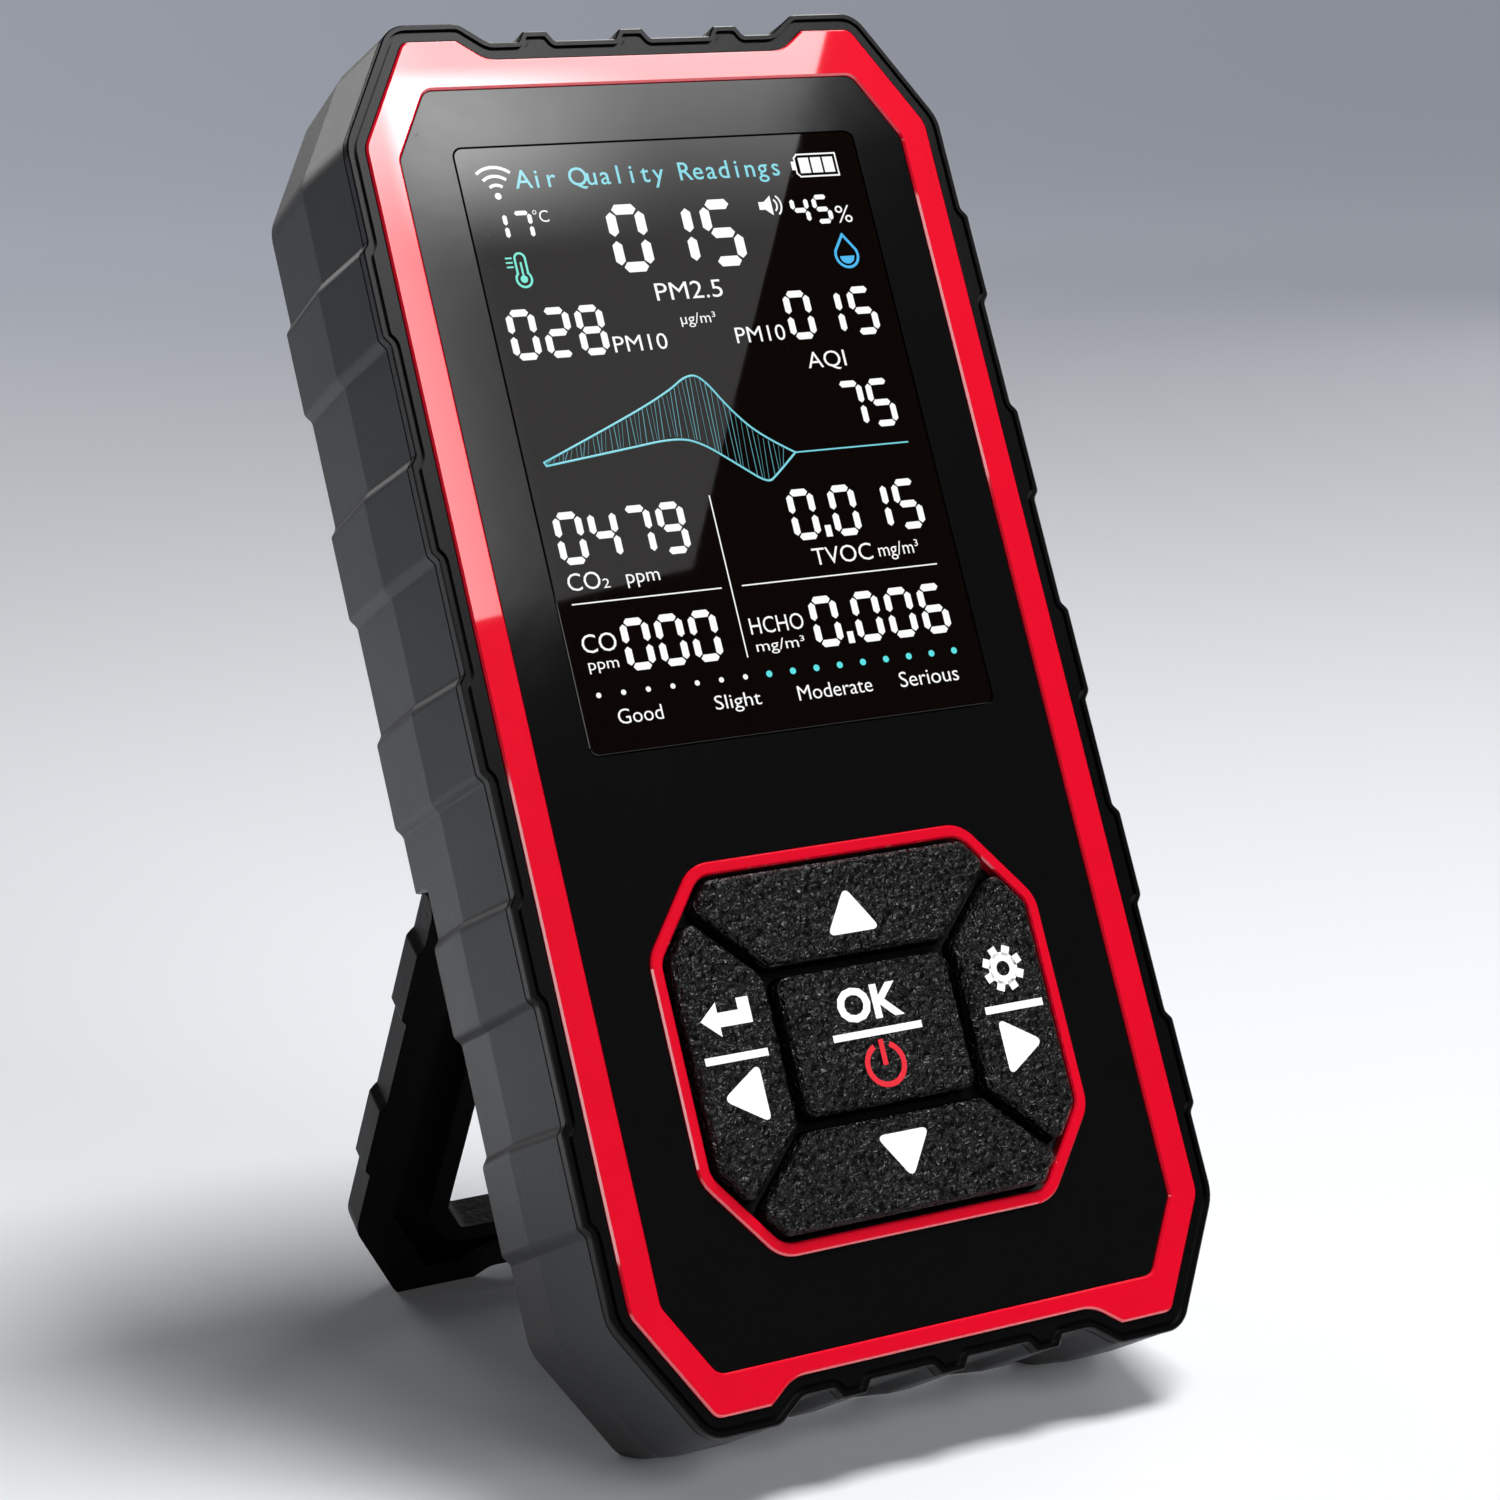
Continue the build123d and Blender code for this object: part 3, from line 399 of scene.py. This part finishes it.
def woven(name, tone):
    """Filter cloth: a plain weave of fine threads."""
    finish = Finish(name)
    axes = finish.node("ShaderNodeSeparateXYZ", None, {"Vector": finish.place})
    pitch = 2 * pi / 0.0006
    warp = axes.wire("X") * pitch
    weft = axes.wire("Z") * pitch
    waves = [wave.math("SINE", wave, 0.0) for wave in (warp, weft)]
    height = waves[0] * waves[1] * 0.5 + 0.5
    changing = {
        "Base Color": finish.between(height, shade(tone, 0.5), shade(tone, 1.3)),
        "Roughness": 0.8 + height * 0.1,
        "Normal": finish.bump(height, 0.0001),
    }
    return finish.close({}, changing)


def board_mask(name, tone):
    """Solder mask of the main board, with copper traces showing through."""
    finish = Finish(name)
    traces = finish.ramp(finish.cells(0.0022, "DISTANCE_TO_EDGE"), 0.05, 0.09)
    grain = finish.noise(0.0008, 2.0, 0.5)
    changing = {
        "Base Color": finish.between(traces * 0.8 + grain * 0.2, shade(tone, 1.9), tone),
        "Roughness": 0.3 + grain * 0.15,
        "Normal": finish.bump(traces, 0.00002),
    }
    return finish.close({}, changing)


def brushed(name, tone, rough):
    """Bare metal with fine streaks along one way."""
    finish = Finish(name)
    stretched = finish.node("ShaderNodeMapping", None, {"Vector": finish.place, "Scale": (0.04, 1.0, 1.0)})
    values = {"Vector": stretched.wire("Vector"), "Scale": 6000.0, "Detail": 3.0}
    streaks = finish.node("ShaderNodeTexNoise", None, values).wire("Fac")
    changing = {
        "Base Color": finish.between(streaks, shade(tone, 0.8), shade(tone, 1.1)),
        "Roughness": rough + streaks * 0.15,
        "Normal": finish.bump(streaks, 0.000008),
    }
    return finish.close({"Metallic": 1.0}, changing)


def dress(slots):
    """Give every CAD node that uses one of the slots its material."""
    for row in frame["record"]["subparts"]:
        made = slots.get(row["material_slot"])
        if made is None:
            continue
        node = frame["nodes"][row["node"]]
        node.data.materials.clear()
        node.data.materials.append(made)


# ---------------------------------------------------------------- flat shapes


class Ink:
    """Thin flat shapes drawn in millimetres on a plane, later placed as one piece."""

    def __init__(self, depth):
        self.mesh = bmesh.new()
        self.depth = depth / MM

    def raise_faces(self, faces):
        """Turn flat faces into closed slabs, half under and half above the plane."""
        for face in faces:
            face.normal_update()
            if face.normal.z > 0:
                face.normal_flip()
        grown = bmesh.ops.extrude_face_region(self.mesh, geom=faces)["geom"]
        tops = [item for item in grown if isinstance(item, bmesh.types.BMVert)]
        bmesh.ops.translate(self.mesh, vec=(0, 0, self.depth), verts=tops)

    def plate(self, points, rounding=0.0):
        """A flat shape with those corners, rounded off if asked."""
        corners = [self.mesh.verts.new((x, y, 0)) for x, y in points]
        shapes = [self.mesh.faces.new(corners)]
        if rounding:
            kept = set(self.mesh.faces) - set(shapes)
            bmesh.ops.bevel(self.mesh, geom=corners, offset=rounding, affect="VERTICES", segments=4,
                            profile=0.5, material=-1, offset_type="OFFSET")
            shapes = [face for face in self.mesh.faces if face not in kept]
        self.raise_faces(shapes)

    def bar(self, x0, y0, x1, y1):
        """An upright rectangle between two corners."""
        self.plate([(x0, y0), (x1, y0), (x1, y1), (x0, y1)])

    def line(self, start, end, width):
        """A straight stroke that ends half its width past both points."""
        along = (Vector(end) - Vector(start)).normalized() * (width / 2)
        side = Vector((-along.y, along.x))
        first, last = Vector(start) - along, Vector(end) + along
        self.plate([first + side, first - side, last - side, last + side])

    def disc(self, x, y, radius):
        """A round dot."""
        made = bmesh.ops.create_circle(self.mesh, cap_ends=True, segments=24, radius=radius,
                                       matrix=Matrix.Translation((x, y, 0)))
        faces = list({face for vertex in made["verts"] for face in vertex.link_faces})
        self.raise_faces(faces)

    def arc(self, x, y, inner, outer, start, end, steps=32):
        """Part of a ring, from one angle to another in degrees; a whole ring at 360."""
        centre = Vector((x, y, 0))
        way = Vector((cos(radians(start)), sin(radians(start)), 0))
        verts = [self.mesh.verts.new(centre + way * radius) for radius in (inner, outer)]
        edge = self.mesh.edges.new(verts)
        full = end - start >= 360
        before = set(self.mesh.faces)
        bmesh.ops.spin(self.mesh, geom=[*verts, edge], cent=centre, axis=(0, 0, 1),
                       angle=radians(end - start), steps=steps, use_merge=full)
        self.raise_faces([face for face in self.mesh.faces if face not in before])

    def outline(self, points, width):
        """A closed line along those corners."""
        for start, end in zip(points, points[1:] + points[:1]):
            self.line(start, end, width)

    def path(self, points, width):
        """A smooth open line of even width through those points."""
        curve = bpy.data.curves.new("stroke", "CURVE")
        curve.dimensions = "3D"
        curve.bevel_depth = width / 2
        curve.bevel_resolution = 1
        curve.resolution_u = 8
        curve.use_fill_caps = True
        spline = curve.splines.new("NURBS")
        spline.points.add(len(points) - 1)
        for point, (x, y) in zip(spline.points, points):
            point.co = (x, y, 0, 1)
        spline.order_u = 3
        spline.use_endpoint_u = True
        flattened = Matrix.Diagonal((1, 1, self.depth / width, 1))
        self.adopt(curve, flattened @ Matrix.Translation((0, 0, width / 2)))

    def adopt(self, curve, place):
        """Take in the mesh of a text or curve."""
        holder = bpy.data.objects.new("holder", curve)
        bpy.context.scene.collection.objects.link(holder)
        bpy.context.view_layer.update()
        made = bpy.data.meshes.new_from_object(holder.evaluated_get(bpy.context.evaluated_depsgraph_get()))
        made.transform(place)
        self.mesh.from_mesh(made)
        bpy.data.objects.remove(holder)
        bpy.data.meshes.remove(made)

    def words(self, text, x0, y0, x1, y1, weight=0.0):
        """Lettering stretched to fill a box."""
        curve = bpy.data.curves.new("words", "FONT")
        curve.body = text
        curve.size = 1.0
        curve.offset = weight
        curve.extrude = 0.5
        curve.resolution_u = 3
        holder = bpy.data.objects.new("holder", curve)
        bpy.context.scene.collection.objects.link(holder)
        bpy.context.view_layer.update()
        low = Vector(holder.bound_box[0])
        high = Vector(holder.bound_box[6])
        bpy.data.objects.remove(holder)
        scale = Vector(((x1 - x0) / (high.x - low.x), (y1 - y0) / (high.y - low.y), self.depth))
        place = Matrix.Translation((x0, y0, self.depth / 2)) @ Matrix.Diagonal((*scale, 1))
        self.adopt(curve, place @ Matrix.Translation((-low.x, -low.y, 0)))

    def spaced_words(self, text, x0, y0, pitch, height, weight=0.0):
        """Lettering with one even pitch, on a base line at y0, for capitals of that height."""
        for place, letter in enumerate(text):
            if letter == " ":
                continue
            curve = bpy.data.curves.new("letter", "FONT")
            curve.body = letter
            curve.size = height / 0.72
            curve.offset = weight
            curve.align_x = "CENTER"
            curve.extrude = self.depth / 2
            curve.resolution_u = 3
            self.adopt(curve, Matrix.Translation((x0 + (place + 0.5) * pitch, y0, self.depth / 2)))

    def piece(self, name, material, place, body, slot=None):
        """Make the shapes one piece that rides on a body."""
        bmesh.ops.translate(self.mesh, vec=(0, 0, -self.depth / 2), verts=self.mesh.verts[:])
        bmesh.ops.remove_doubles(self.mesh, verts=self.mesh.verts[:], dist=1e-5)
        bmesh.ops.recalc_face_normals(self.mesh, faces=self.mesh.faces[:])
        bmesh.ops.transform(self.mesh, matrix=place, verts=self.mesh.verts[:])
        made = bpy.data.meshes.new(name)
        self.mesh.to_mesh(made)
        self.mesh.free()
        made.materials.append(material)
        piece = bpy.data.objects.new(name, made)
        bpy.context.scene.collection.objects.link(piece)
        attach(piece, body)
        return piece


SEGMENTS = {"0": "abcdef", "1": "bc", "2": "abdeg", "3": "abcdg", "4": "bcfg", "5": "acdfg", "6": "acdefg",
            "7": "abc", "8": "abcdefg", "9": "abcdfg"}


def digits(ink, text, starts, low, high, width, thick):
    """Seven-segment digits, each in a cell that starts at the given place."""
    gap = thick * 0.22
    half = thick / 2
    for letter, start in zip(text, starts):
        left, right = start + half, start + width - half
        bottom, top = low + half, high - half
        middle = (low + high) / 2
        ends = {
            "a": ((left, top), (right, top)),
            "g": ((left, middle), (right, middle)),
            "d": ((left, bottom), (right, bottom)),
            "f": ((left, middle), (left, top)),
            "b": ((right, middle), (right, top)),
            "e": ((left, bottom), (left, middle)),
            "c": ((right, bottom), (right, middle)),
        }
        for name in SEGMENTS[letter]:
            first, last = (Vector(end) for end in ends[name])
            along = (last - first).normalized()
            side = Vector((-along.y, along.x)) * half
            first, last = first + along * gap, last - along * gap
            point = along * half * 0.8
            ink.plate([first, first + point - side, last - point - side, last, last - point + side,
                       first + point + side])


def scale_dots(ink, numbers, radius):
    """Those dots of the scale along the bottom of the screen."""
    for number in numbers:
        ink.disc(FIRST_DOT + number * DOT_PITCH, DOT_HEIGHT, radius)


def height_at(line, x):
    """Height of an open line of straight runs at x."""
    for (x0, y0), (x1, y1) in zip(line, line[1:]):
        if x0 <= x <= x1:
            return y0 + (y1 - y0) * (x - x0) / (x1 - x0)
    return line[-1][1]


# ---------------------------------------------------------------- operators


class MONITOR_OT_outside_finishes(bpy.types.Operator):
    """Give the boot, shells, bezel, panel, lens, keys and stand their finishes"""

    bl_idname = "monitor.outside_finishes"
    bl_label = "Outside finishes"

    def execute(self, context):
        tones = context.scene.monitor_finishes
        dress({
            "boot_rubber": moulded("boot_rubber", tones.rubber, 0.42, 0.0006, 0.00003, 0.2, shine=0.42),
            # Painted shade: a darker copy of the boot rubber for the stand's grip.
            "grip_rubber": moulded("grip_rubber", tones.grip, 0.45, 0.0006, 0.00003, 0.2, shine=0.10),
            "rim_plastic": moulded("rim_plastic", tones.rim, 0.24, 0.0006, 0.000006, 0.2, 0.02, shine=0.25),
            "back_plastic": moulded("back_plastic", tones.back, 0.46, 0.0007, 0.00012, 0.3, shine=0.12),
            "red_gloss": glossy("red_gloss", tones.red, 0.3, 1.0, coat_ior=2.1, shine=0.05),
            "panel_black": glossy("panel_black", tones.panel, 0.09, 0.0),
            "screen_black": glossy("screen_black", tones.lens, 0.012, 0.0, 0.0000004),
            "key_rubber": leather("key_rubber", tones.keys),
        })
        return {"FINISHED"}


class MONITOR_OT_inside_finishes(bpy.types.Operator):
    """Give the sensors, board, display, battery, screws and port their finishes"""

    bl_idname = "monitor.inside_finishes"
    bl_label = "Inside finishes"

    def execute(self, context):
        dress({
            "seal_silicone": moulded("seal_silicone", (0.12, 0.12, 0.12), 0.6, 0.0008, 0.00001),
            "foam": moulded("foam", (0.05, 0.05, 0.05), 0.9, 0.0007, 0.0002, 0.5),
            "filter_cloth": woven("filter_cloth", (0.05, 0.05, 0.05)),
            "display_glass": glossy("display_glass", (0.02, 0.02, 0.028), 0.05, 0.0),
            "bare_steel": brushed("bare_steel", (0.58, 0.58, 0.60), 0.25),
            "flex_film": moulded("flex_film", (0.55, 0.28, 0.05), 0.3, 0.001, 0.000005),
            "dark_housing": moulded("dark_housing", (0.025, 0.025, 0.026), 0.45, 0.0005, 0.00002),
            "sensor_case": moulded("sensor_case", (0.03, 0.06, 0.18), 0.4, 0.0006, 0.00002),
            "brass_barrel": brushed("brass_barrel", (0.72, 0.52, 0.22), 0.22),
            "gold_can": brushed("gold_can", (0.85, 0.64, 0.30), 0.2),
            "sensor_white": moulded("sensor_white", (0.74, 0.74, 0.72), 0.45, 0.0006, 0.00001, 0.06),
            "battery_foil": brushed("battery_foil", (0.62, 0.63, 0.65), 0.35),
            "board_green": board_mask("board_green", (0.006, 0.075, 0.03)),
            "screw_steel": brushed("screw_steel", (0.55, 0.55, 0.56), 0.2),
            "screw_black": moulded("screw_black", (0.03, 0.03, 0.032), 0.32, 0.0004, 0.00001, 0.3, 0.01, 0.8),
            "plate_foil": brushed("plate_foil", (0.30, 0.30, 0.31), 0.4),
        })
        return {"FINISHED"}


class MONITOR_OT_white_readouts(bpy.types.Operator):
    """Draw the white digits, labels, symbols and dividers of the screen"""

    bl_idname = "monitor.white_readouts"
    bl_label = "White read-outs"

    def execute(self, context):
        screen = context.scene.monitor_screen
        place = face_frame(reach("screen_lens", OUT)[1], screen.drop)
        white = lit("readout_white", screen.white, screen.glow)

        ink = Ink(screen.ink)
        for row in DIGIT_ROWS:
            digits(ink, *row)
        ink.bar(8.95, 14.8, 9.7, 16.1)
        ink.bar(8.5, 2.9, 9.25, 4.2)
        ink.piece("readout_digits", white, place, ROOT)

        ink = Ink(screen.ink)
        for label in LABELS:
            ink.words(*label, LABEL_WEIGHT)
        ink.piece("readout_labels", white, place, ROOT)

        ink = Ink(screen.ink)
        for radius in (1.2, 2.2, 3.2):
            ink.arc(*WIRELESS, radius - 0.17, radius + 0.17, 52, 128, 14)
        ink.disc(-20.4, 55.35, WIRELESS_DOT)
        battery = [(16.3, 56.2), (16.7, 55.8), (21.6, 55.8), (21.6, 58.4), (16.7, 58.4), (16.3, 58.0)]
        ink.outline(battery, 0.18)
        ink.bar(15.8, 56.6, 16.2, 57.6)
        for left in (16.8, 18.35, 19.9):
            ink.bar(left, 56.2, left + 1.3, 58.0)
        ink.plate([(10.5, 52.2), (11.2, 52.2), (12.1, 51.5), (12.1, 53.8), (11.2, 53.1), (10.5, 53.1)])
        ink.arc(*SPEAKER, 0.75, 0.95, -50, 50, 10)
        ink.arc(*SPEAKER, 1.3, 1.5, -50, 50, 10)
        ink.line((-4.0, 2.8), (-4.0, 20.6), RULE)
        ink.line((-22.7, 10.5), (-5.2, 10.5), RULE)
        ink.line((-2.6, 10.5), (21.6, 10.5), RULE)
        scale_dots(ink, range(WHITE_DOTS), 0.29)
        ink.piece("readout_symbols", white, place, ROOT)
        return {"FINISHED"}


class MONITOR_OT_coloured_readouts(bpy.types.Operator):
    """Draw the title, graph, scale dots, thermometer and drop of the screen"""

    bl_idname = "monitor.coloured_readouts"
    bl_label = "Coloured read-outs"

    def execute(self, context):
        screen = context.scene.monitor_screen
        place = face_frame(reach("screen_lens", OUT)[1], screen.drop)
        cyan = lit("readout_cyan", screen.cyan, screen.glow)

        ink = Ink(screen.ink)
        ink.spaced_words(TITLE, -17.9, 56.1, 1.62, 2.15, TITLE_WEIGHT)
        ink.piece("readout_title", cyan, place, ROOT)

        ink = Ink(screen.ink)
        ink.path(CREST, CURVE)
        ink.path(TROUGH, CURVE)
        ink.line((-22.2, 25.9), (-22.0, 25.5), 0.2)
        ink.line((7.5, 24.5), (21.8, 24.5), 0.16)
        ink.piece("readout_graph", cyan, place, ROOT)

        ink = Ink(screen.ink)
        for number in range(HATCHES):
            head = HATCHED_FROM + number * HATCHED_WIDTH / HATCHES
            foot = head - 0.5 + 0.45 * sin(number * 2.4) ** 2
            ink.line((foot, height_at(TROUGH, foot) + 0.2), (head, height_at(CREST, head) - 0.2),
                     0.055 + 0.025 * cos(number * 1.7))
        hatch = lit("readout_hatch", shade(screen.cyan, 0.55), screen.glow)
        ink.piece("readout_hatching", hatch, place, ROOT)

        ink = Ink(screen.ink)
        scale_dots(ink, range(WHITE_DOTS, ALL_DOTS), 0.36)
        aqua = lit("readout_aqua", (0.12, 0.78, 0.80), screen.glow)
        ink.piece("readout_dots", aqua, place, ROOT)

        teal = lit("readout_teal", screen.teal, screen.glow)
        ink = Ink(screen.ink)
        ink.arc(*BULB, 0.75, 1.0, -235, 55, 24)
        ink.disc(*BULB, 0.42)
        ink.line((-20.2, 46.7), (-20.2, 48.3), 0.24)
        ink.line((-19.0, 46.7), (-19.0, 48.3), 0.24)
        ink.arc(-19.6, 48.3, 0.48, 0.72, 0, 180, 12)
        ink.line(BULB, (-19.6, 47.8), 0.22)
        for y in (48.4, 47.9, 47.4):
            ink.line((-21.2, y), (-20.6, y), 0.18)
        ink.piece("readout_thermometer", teal, place, ROOT)

        blue = lit("readout_blue", screen.blue, screen.glow)
        ink = Ink(screen.ink)
        ink.arc(*DROP, 1.25, 1.55, 150, 390, 24)
        ink.line((18.72, 47.0), (20.0, 48.8), 0.3)
        ink.line((21.28, 47.0), (20.0, 48.8), 0.3)
        ink.arc(20.0, 46.3, 0.0, 0.9, 180, 360, 16)
        ink.piece("readout_drop", blue, place, ROOT)
        return {"FINISHED"}


class MONITOR_OT_key_symbols(bpy.types.Operator):
    """Print the arrows, gear, bars, letters and power symbol on the keys"""

    bl_idname = "monitor.key_symbols"
    bl_label = "Key symbols"

    def execute(self, context):
        screen = context.scene.monitor_screen
        place = face_frame(reach("key_ok", OUT)[1], screen.drop)
        white = printed("key_print_white", screen.print_white)
        red = printed("key_print_red", screen.power)

        ink = Ink(screen.ink)
        ink.plate([(-3.2, -27.9), (3.2, -27.9), (0.0, -23.0)], ARROW_CORNER)
        ink.piece("print_up", white, place, "key_up")

        ink = Ink(screen.ink)
        ink.plate([(-3.2, -49.0), (0.0, -53.9), (3.2, -49.0)], ARROW_CORNER)
        ink.piece("print_down", white, place, "key_down")

        ink = Ink(screen.ink)
        ink.plate([(-19.9, -34.35), (-17.8, -36.2), (-17.8, -35.2), (-14.0, -35.2), (-14.0, -32.5),
                   (-15.4, -32.5), (-15.4, -33.7), (-17.8, -33.7), (-17.8, -32.6)])
        ink.bar(-20.4, BAR_LOW, -13.1, BAR_HIGH)
        ink.plate([(-14.5, -45.6), (-14.5, -39.4), (-19.4, -42.5)], ARROW_CORNER)
        ink.piece("print_left", white, place, "key_left")

        ink = Ink(screen.ink)
        ink.arc(*GEAR, 0.8, 1.75, 0, 360, 40)
        for number in range(GEAR_TEETH):
            way = radians((number + 0.5) * 360 / GEAR_TEETH)
            heading = Vector((cos(way), sin(way)))
            ink.line(Vector(GEAR) + heading * 2.0, Vector(GEAR) + heading * 1.9, 0.95)
        ink.bar(13.2, BAR_LOW, 20.4, BAR_HIGH)
        ink.plate([(14.4, -45.6), (19.3, -42.5), (14.4, -39.4)], ARROW_CORNER)
        ink.piece("print_right", white, place, "key_right")

        ink = Ink(screen.ink)
        ink.words("OK", -4.1, -37.2, 3.6, -33.5, 0.035)
        ink.bar(-5.4, BAR_LOW, 5.3, -38.1)
        ink.piece("print_ok", white, place, "key_ok")

        ink = Ink(screen.ink)
        ink.arc(*POWER, 1.85, 2.45, 115, 425, 32)
        ink.bar(-0.3, -42.0, 0.3, -39.3)
        ink.piece("print_power", red, place, "key_ok")
        return {"FINISHED"}


def soft_light(name, place, width, height, power, spread=True, mirrored=True):
    """A rectangular soft light aimed at the object, lighting it, mirrored in it, or both."""
    lamp = bpy.data.lights.new(name, "AREA")
    lamp.shape = "RECTANGLE"
    lamp.size = width
    lamp.size_y = height
    lamp.energy = power
    holder = bpy.data.objects.new(name, lamp)
    bpy.context.scene.collection.objects.link(holder)
    holder.location = place
    holder.rotation_mode = "QUATERNION"
    sight = Vector(OBJECT_MIDDLE) - Vector(place)
    holder.rotation_quaternion = sight.to_track_quat("-Z", "Y")
    holder.visible_diffuse = spread
    holder.visible_glossy = mirrored
    holder.visible_camera = False


def stage_object(name, mesh, material):
    """Put a mesh of the stage into the scene."""
    made = bpy.data.meshes.new(name)
    mesh.to_mesh(made)
    mesh.free()
    made.materials.append(material)
    item = bpy.data.objects.new(name, made)
    bpy.context.scene.collection.objects.link(item)
    return item


def lay_floor(stage):
    """The floor, with painted light: its tone and glow fade with distance and towards the right, in place of
    the fall of the lamps' light.
    """
    finish = Finish("floor")
    away = finish.node("ShaderNodeVectorMath", {"operation": "LENGTH"}, {0: finish.place}).wire("Value")
    heading = finish.node("ShaderNodeVectorMath", {"operation": "NORMALIZE"}, {0: finish.place})
    across = finish.node("ShaderNodeSeparateXYZ", None, {"Vector": heading.wire("Vector")}).wire("X")
    # Painted light: the floor is made lighter towards the left.
    left = finish.ramp(across, 0.7, 0.2)
    share = (1 - (1 + away * (1 / stage.fade)) ** -1) * (1 - left * 0.2)
    tone = finish.between(share, stage.floor_lit_near, stage.floor_shaded_far)
    # Painted light: the floor glows, faintly near the object and more far off.
    share = finish.ramp(away, 0.4, 1.7) * (left * 0.22 + 0.73)
    glow = finish.between(share, shade(stage.floor_lit_near, 0.08), shade(stage.floor_shaded_far, 2.7))
    constants = {"Specular IOR Level": 0.12, "Emission Strength": 0.5, "Roughness": 0.3}
    finish.close(constants, {"Base Color": tone, "Emission Color": glow})
    disc = bmesh.new()
    bmesh.ops.create_circle(disc, cap_ends=True, segments=96, radius=FLOOR_RADIUS)
    stage_object("floor", disc, finish.material)


def hang_softbox(face):
    """The large softbox in front of the face, whose edge shows in the screen and the bezel."""
    finish = Finish("softbox")
    axes = finish.node("ShaderNodeSeparateXYZ", None, {"Vector": finish.place})
    across, up = axes.wire("X"), axes.wire("Y")
    rise = finish.ramp(up, 0.29, 0.36)
    edge = finish.ramp(across, 0.315, 0.275)
    hot = finish.ramp(across, 0.39, 0.30) * finish.ramp(across, 0.284, 0.296)
    hot = hot * finish.ramp(up, 0.29, 0.335) * finish.ramp(up, 0.357, 0.346)
    strength = 0.85 + rise * 3.5 + edge * 1.6 + hot * 7.0
    values = {"Color": (1.0, 1.0, 1.0, 1.0), "Strength": strength}
    glow = finish.node("ShaderNodeEmission", None, values)
    finish.node("ShaderNodeOutputMaterial", None, {"Surface": glow.wire("Emission")})
    sheet = bmesh.new()
    sheet.faces.new([sheet.verts.new((x, y, SOFTBOX_DISTANCE)) for x, y in SOFTBOX_CORNERS])
    softbox = stage_object("softbox", sheet, finish.material)
    softbox.matrix_world = face
    softbox.visible_camera = False
    softbox.visible_diffuse = False
    softbox.visible_shadow = False


def hang_lights():
    """Soft lights round the object, and a faint bluish surrounding."""
    soft_light("front_fill", (0.35, -1.05, 0.6), 0.6, 0.6, 7.0, mirrored=False)
    soft_light("top_light", (0.3, -0.05, 0.97), 0.35, 0.35, 11.5)
    soft_light("back_light", (-0.25, 1.1, 0.55), 0.5, 0.5, 2.6)
    soft_light("right_light", (0.95, 0.5, 0.4), 0.4, 0.6, 1.6)
    soft_light("edge_light", (0.5, 0.55, 0.72), 0.3, 0.3, 1.6, spread=False)
    soft_light("left_strip", (-0.8, -0.34, 0.42), 0.12, 0.4, 0.35, spread=False)
    world = bpy.data.worlds.new("studio")
    world.use_nodes = True
    background = world.node_tree.nodes["Background"].inputs
    background["Color"].default_value = (0.9, 0.94, 1.0, 1.0)
    background["Strength"].default_value = 0.03
    bpy.context.scene.world = world


def place_camera(stage, face):
    """The camera, placed and aimed in the frame of the face."""
    lens = bpy.data.cameras.new("camera")
    lens.lens = stage.camera_lens
    lens.sensor_width = SENSOR_WIDTH
    lens.clip_start = NEAREST
    lens.clip_end = FARTHEST
    camera = bpy.data.objects.new("camera", lens)
    bpy.context.scene.collection.objects.link(camera)
    place = face @ Vector(stage.camera_place)
    sight = face @ Vector(stage.camera_aim) - place
    camera.location = place
    camera.rotation_mode = "QUATERNION"
    camera.rotation_quaternion = sight.to_track_quat("-Z", "Y") @ Quaternion((0, 0, 1), stage.camera_roll)
    bpy.context.scene.camera = camera


class MONITOR_OT_stage(bpy.types.Operator):
    """Set up the floor, the lights and the camera"""

    bl_idname = "monitor.stage"
    bl_label = "Stage"

    def execute(self, context):
        stage = context.scene.monitor_stage
        drop = context.scene.monitor_screen.drop
        face = face_frame(reach("screen_lens", OUT)[1], drop) @ Matrix.Scale(1 / MM, 4)
        lay_floor(stage)
        hang_softbox(face)
        hang_lights()
        place_camera(stage, face)
        context.scene.view_settings.view_transform = "Standard"
        return {"FINISHED"}


class MONITOR_PT_panel(bpy.types.Panel):
    """Sizes, colours and steps of the monitor"""

    bl_idname = "MONITOR_PT_panel"
    bl_label = "Air Quality Monitor"
    bl_space_type = "VIEW_3D"
    bl_region_type = "UI"
    bl_category = "Monitor"

    def draw(self, context):
        for operator in OPERATORS:
            self.layout.operator(operator.bl_idname)
        for name, kind in GROUPS.items():
            box = self.layout.box()
            for value in kind.__annotations__:
                box.prop(getattr(context.scene, name), value)


GROUPS = {
    "monitor_finishes": MonitorFinishes,
    "monitor_screen": MonitorScreen,
    "monitor_stage": MonitorStage,
}
OPERATORS = (
    MONITOR_OT_outside_finishes,
    MONITOR_OT_inside_finishes,
    MONITOR_OT_white_readouts,
    MONITOR_OT_coloured_readouts,
    MONITOR_OT_key_symbols,
    MONITOR_OT_stage,
)
CLASSES = (*GROUPS.values(), *OPERATORS, MONITOR_PT_panel)


def register():
    for item in CLASSES:
        bpy.utils.register_class(item)
    for name, group in GROUPS.items():
        setattr(bpy.types.Scene, name, PointerProperty(type=group))


def unregister():
    for name in GROUPS:
        delattr(bpy.types.Scene, name)
    for item in reversed(CLASSES):
        bpy.utils.unregister_class(item)


def main():
    """Dress the frame, draw the read-outs and symbols and set the stage."""
    register()
    for operator in OPERATORS:
        group, name = operator.bl_idname.split(".")
        getattr(getattr(bpy.ops, group), name)()


if __name__ == "__main__":
    main()
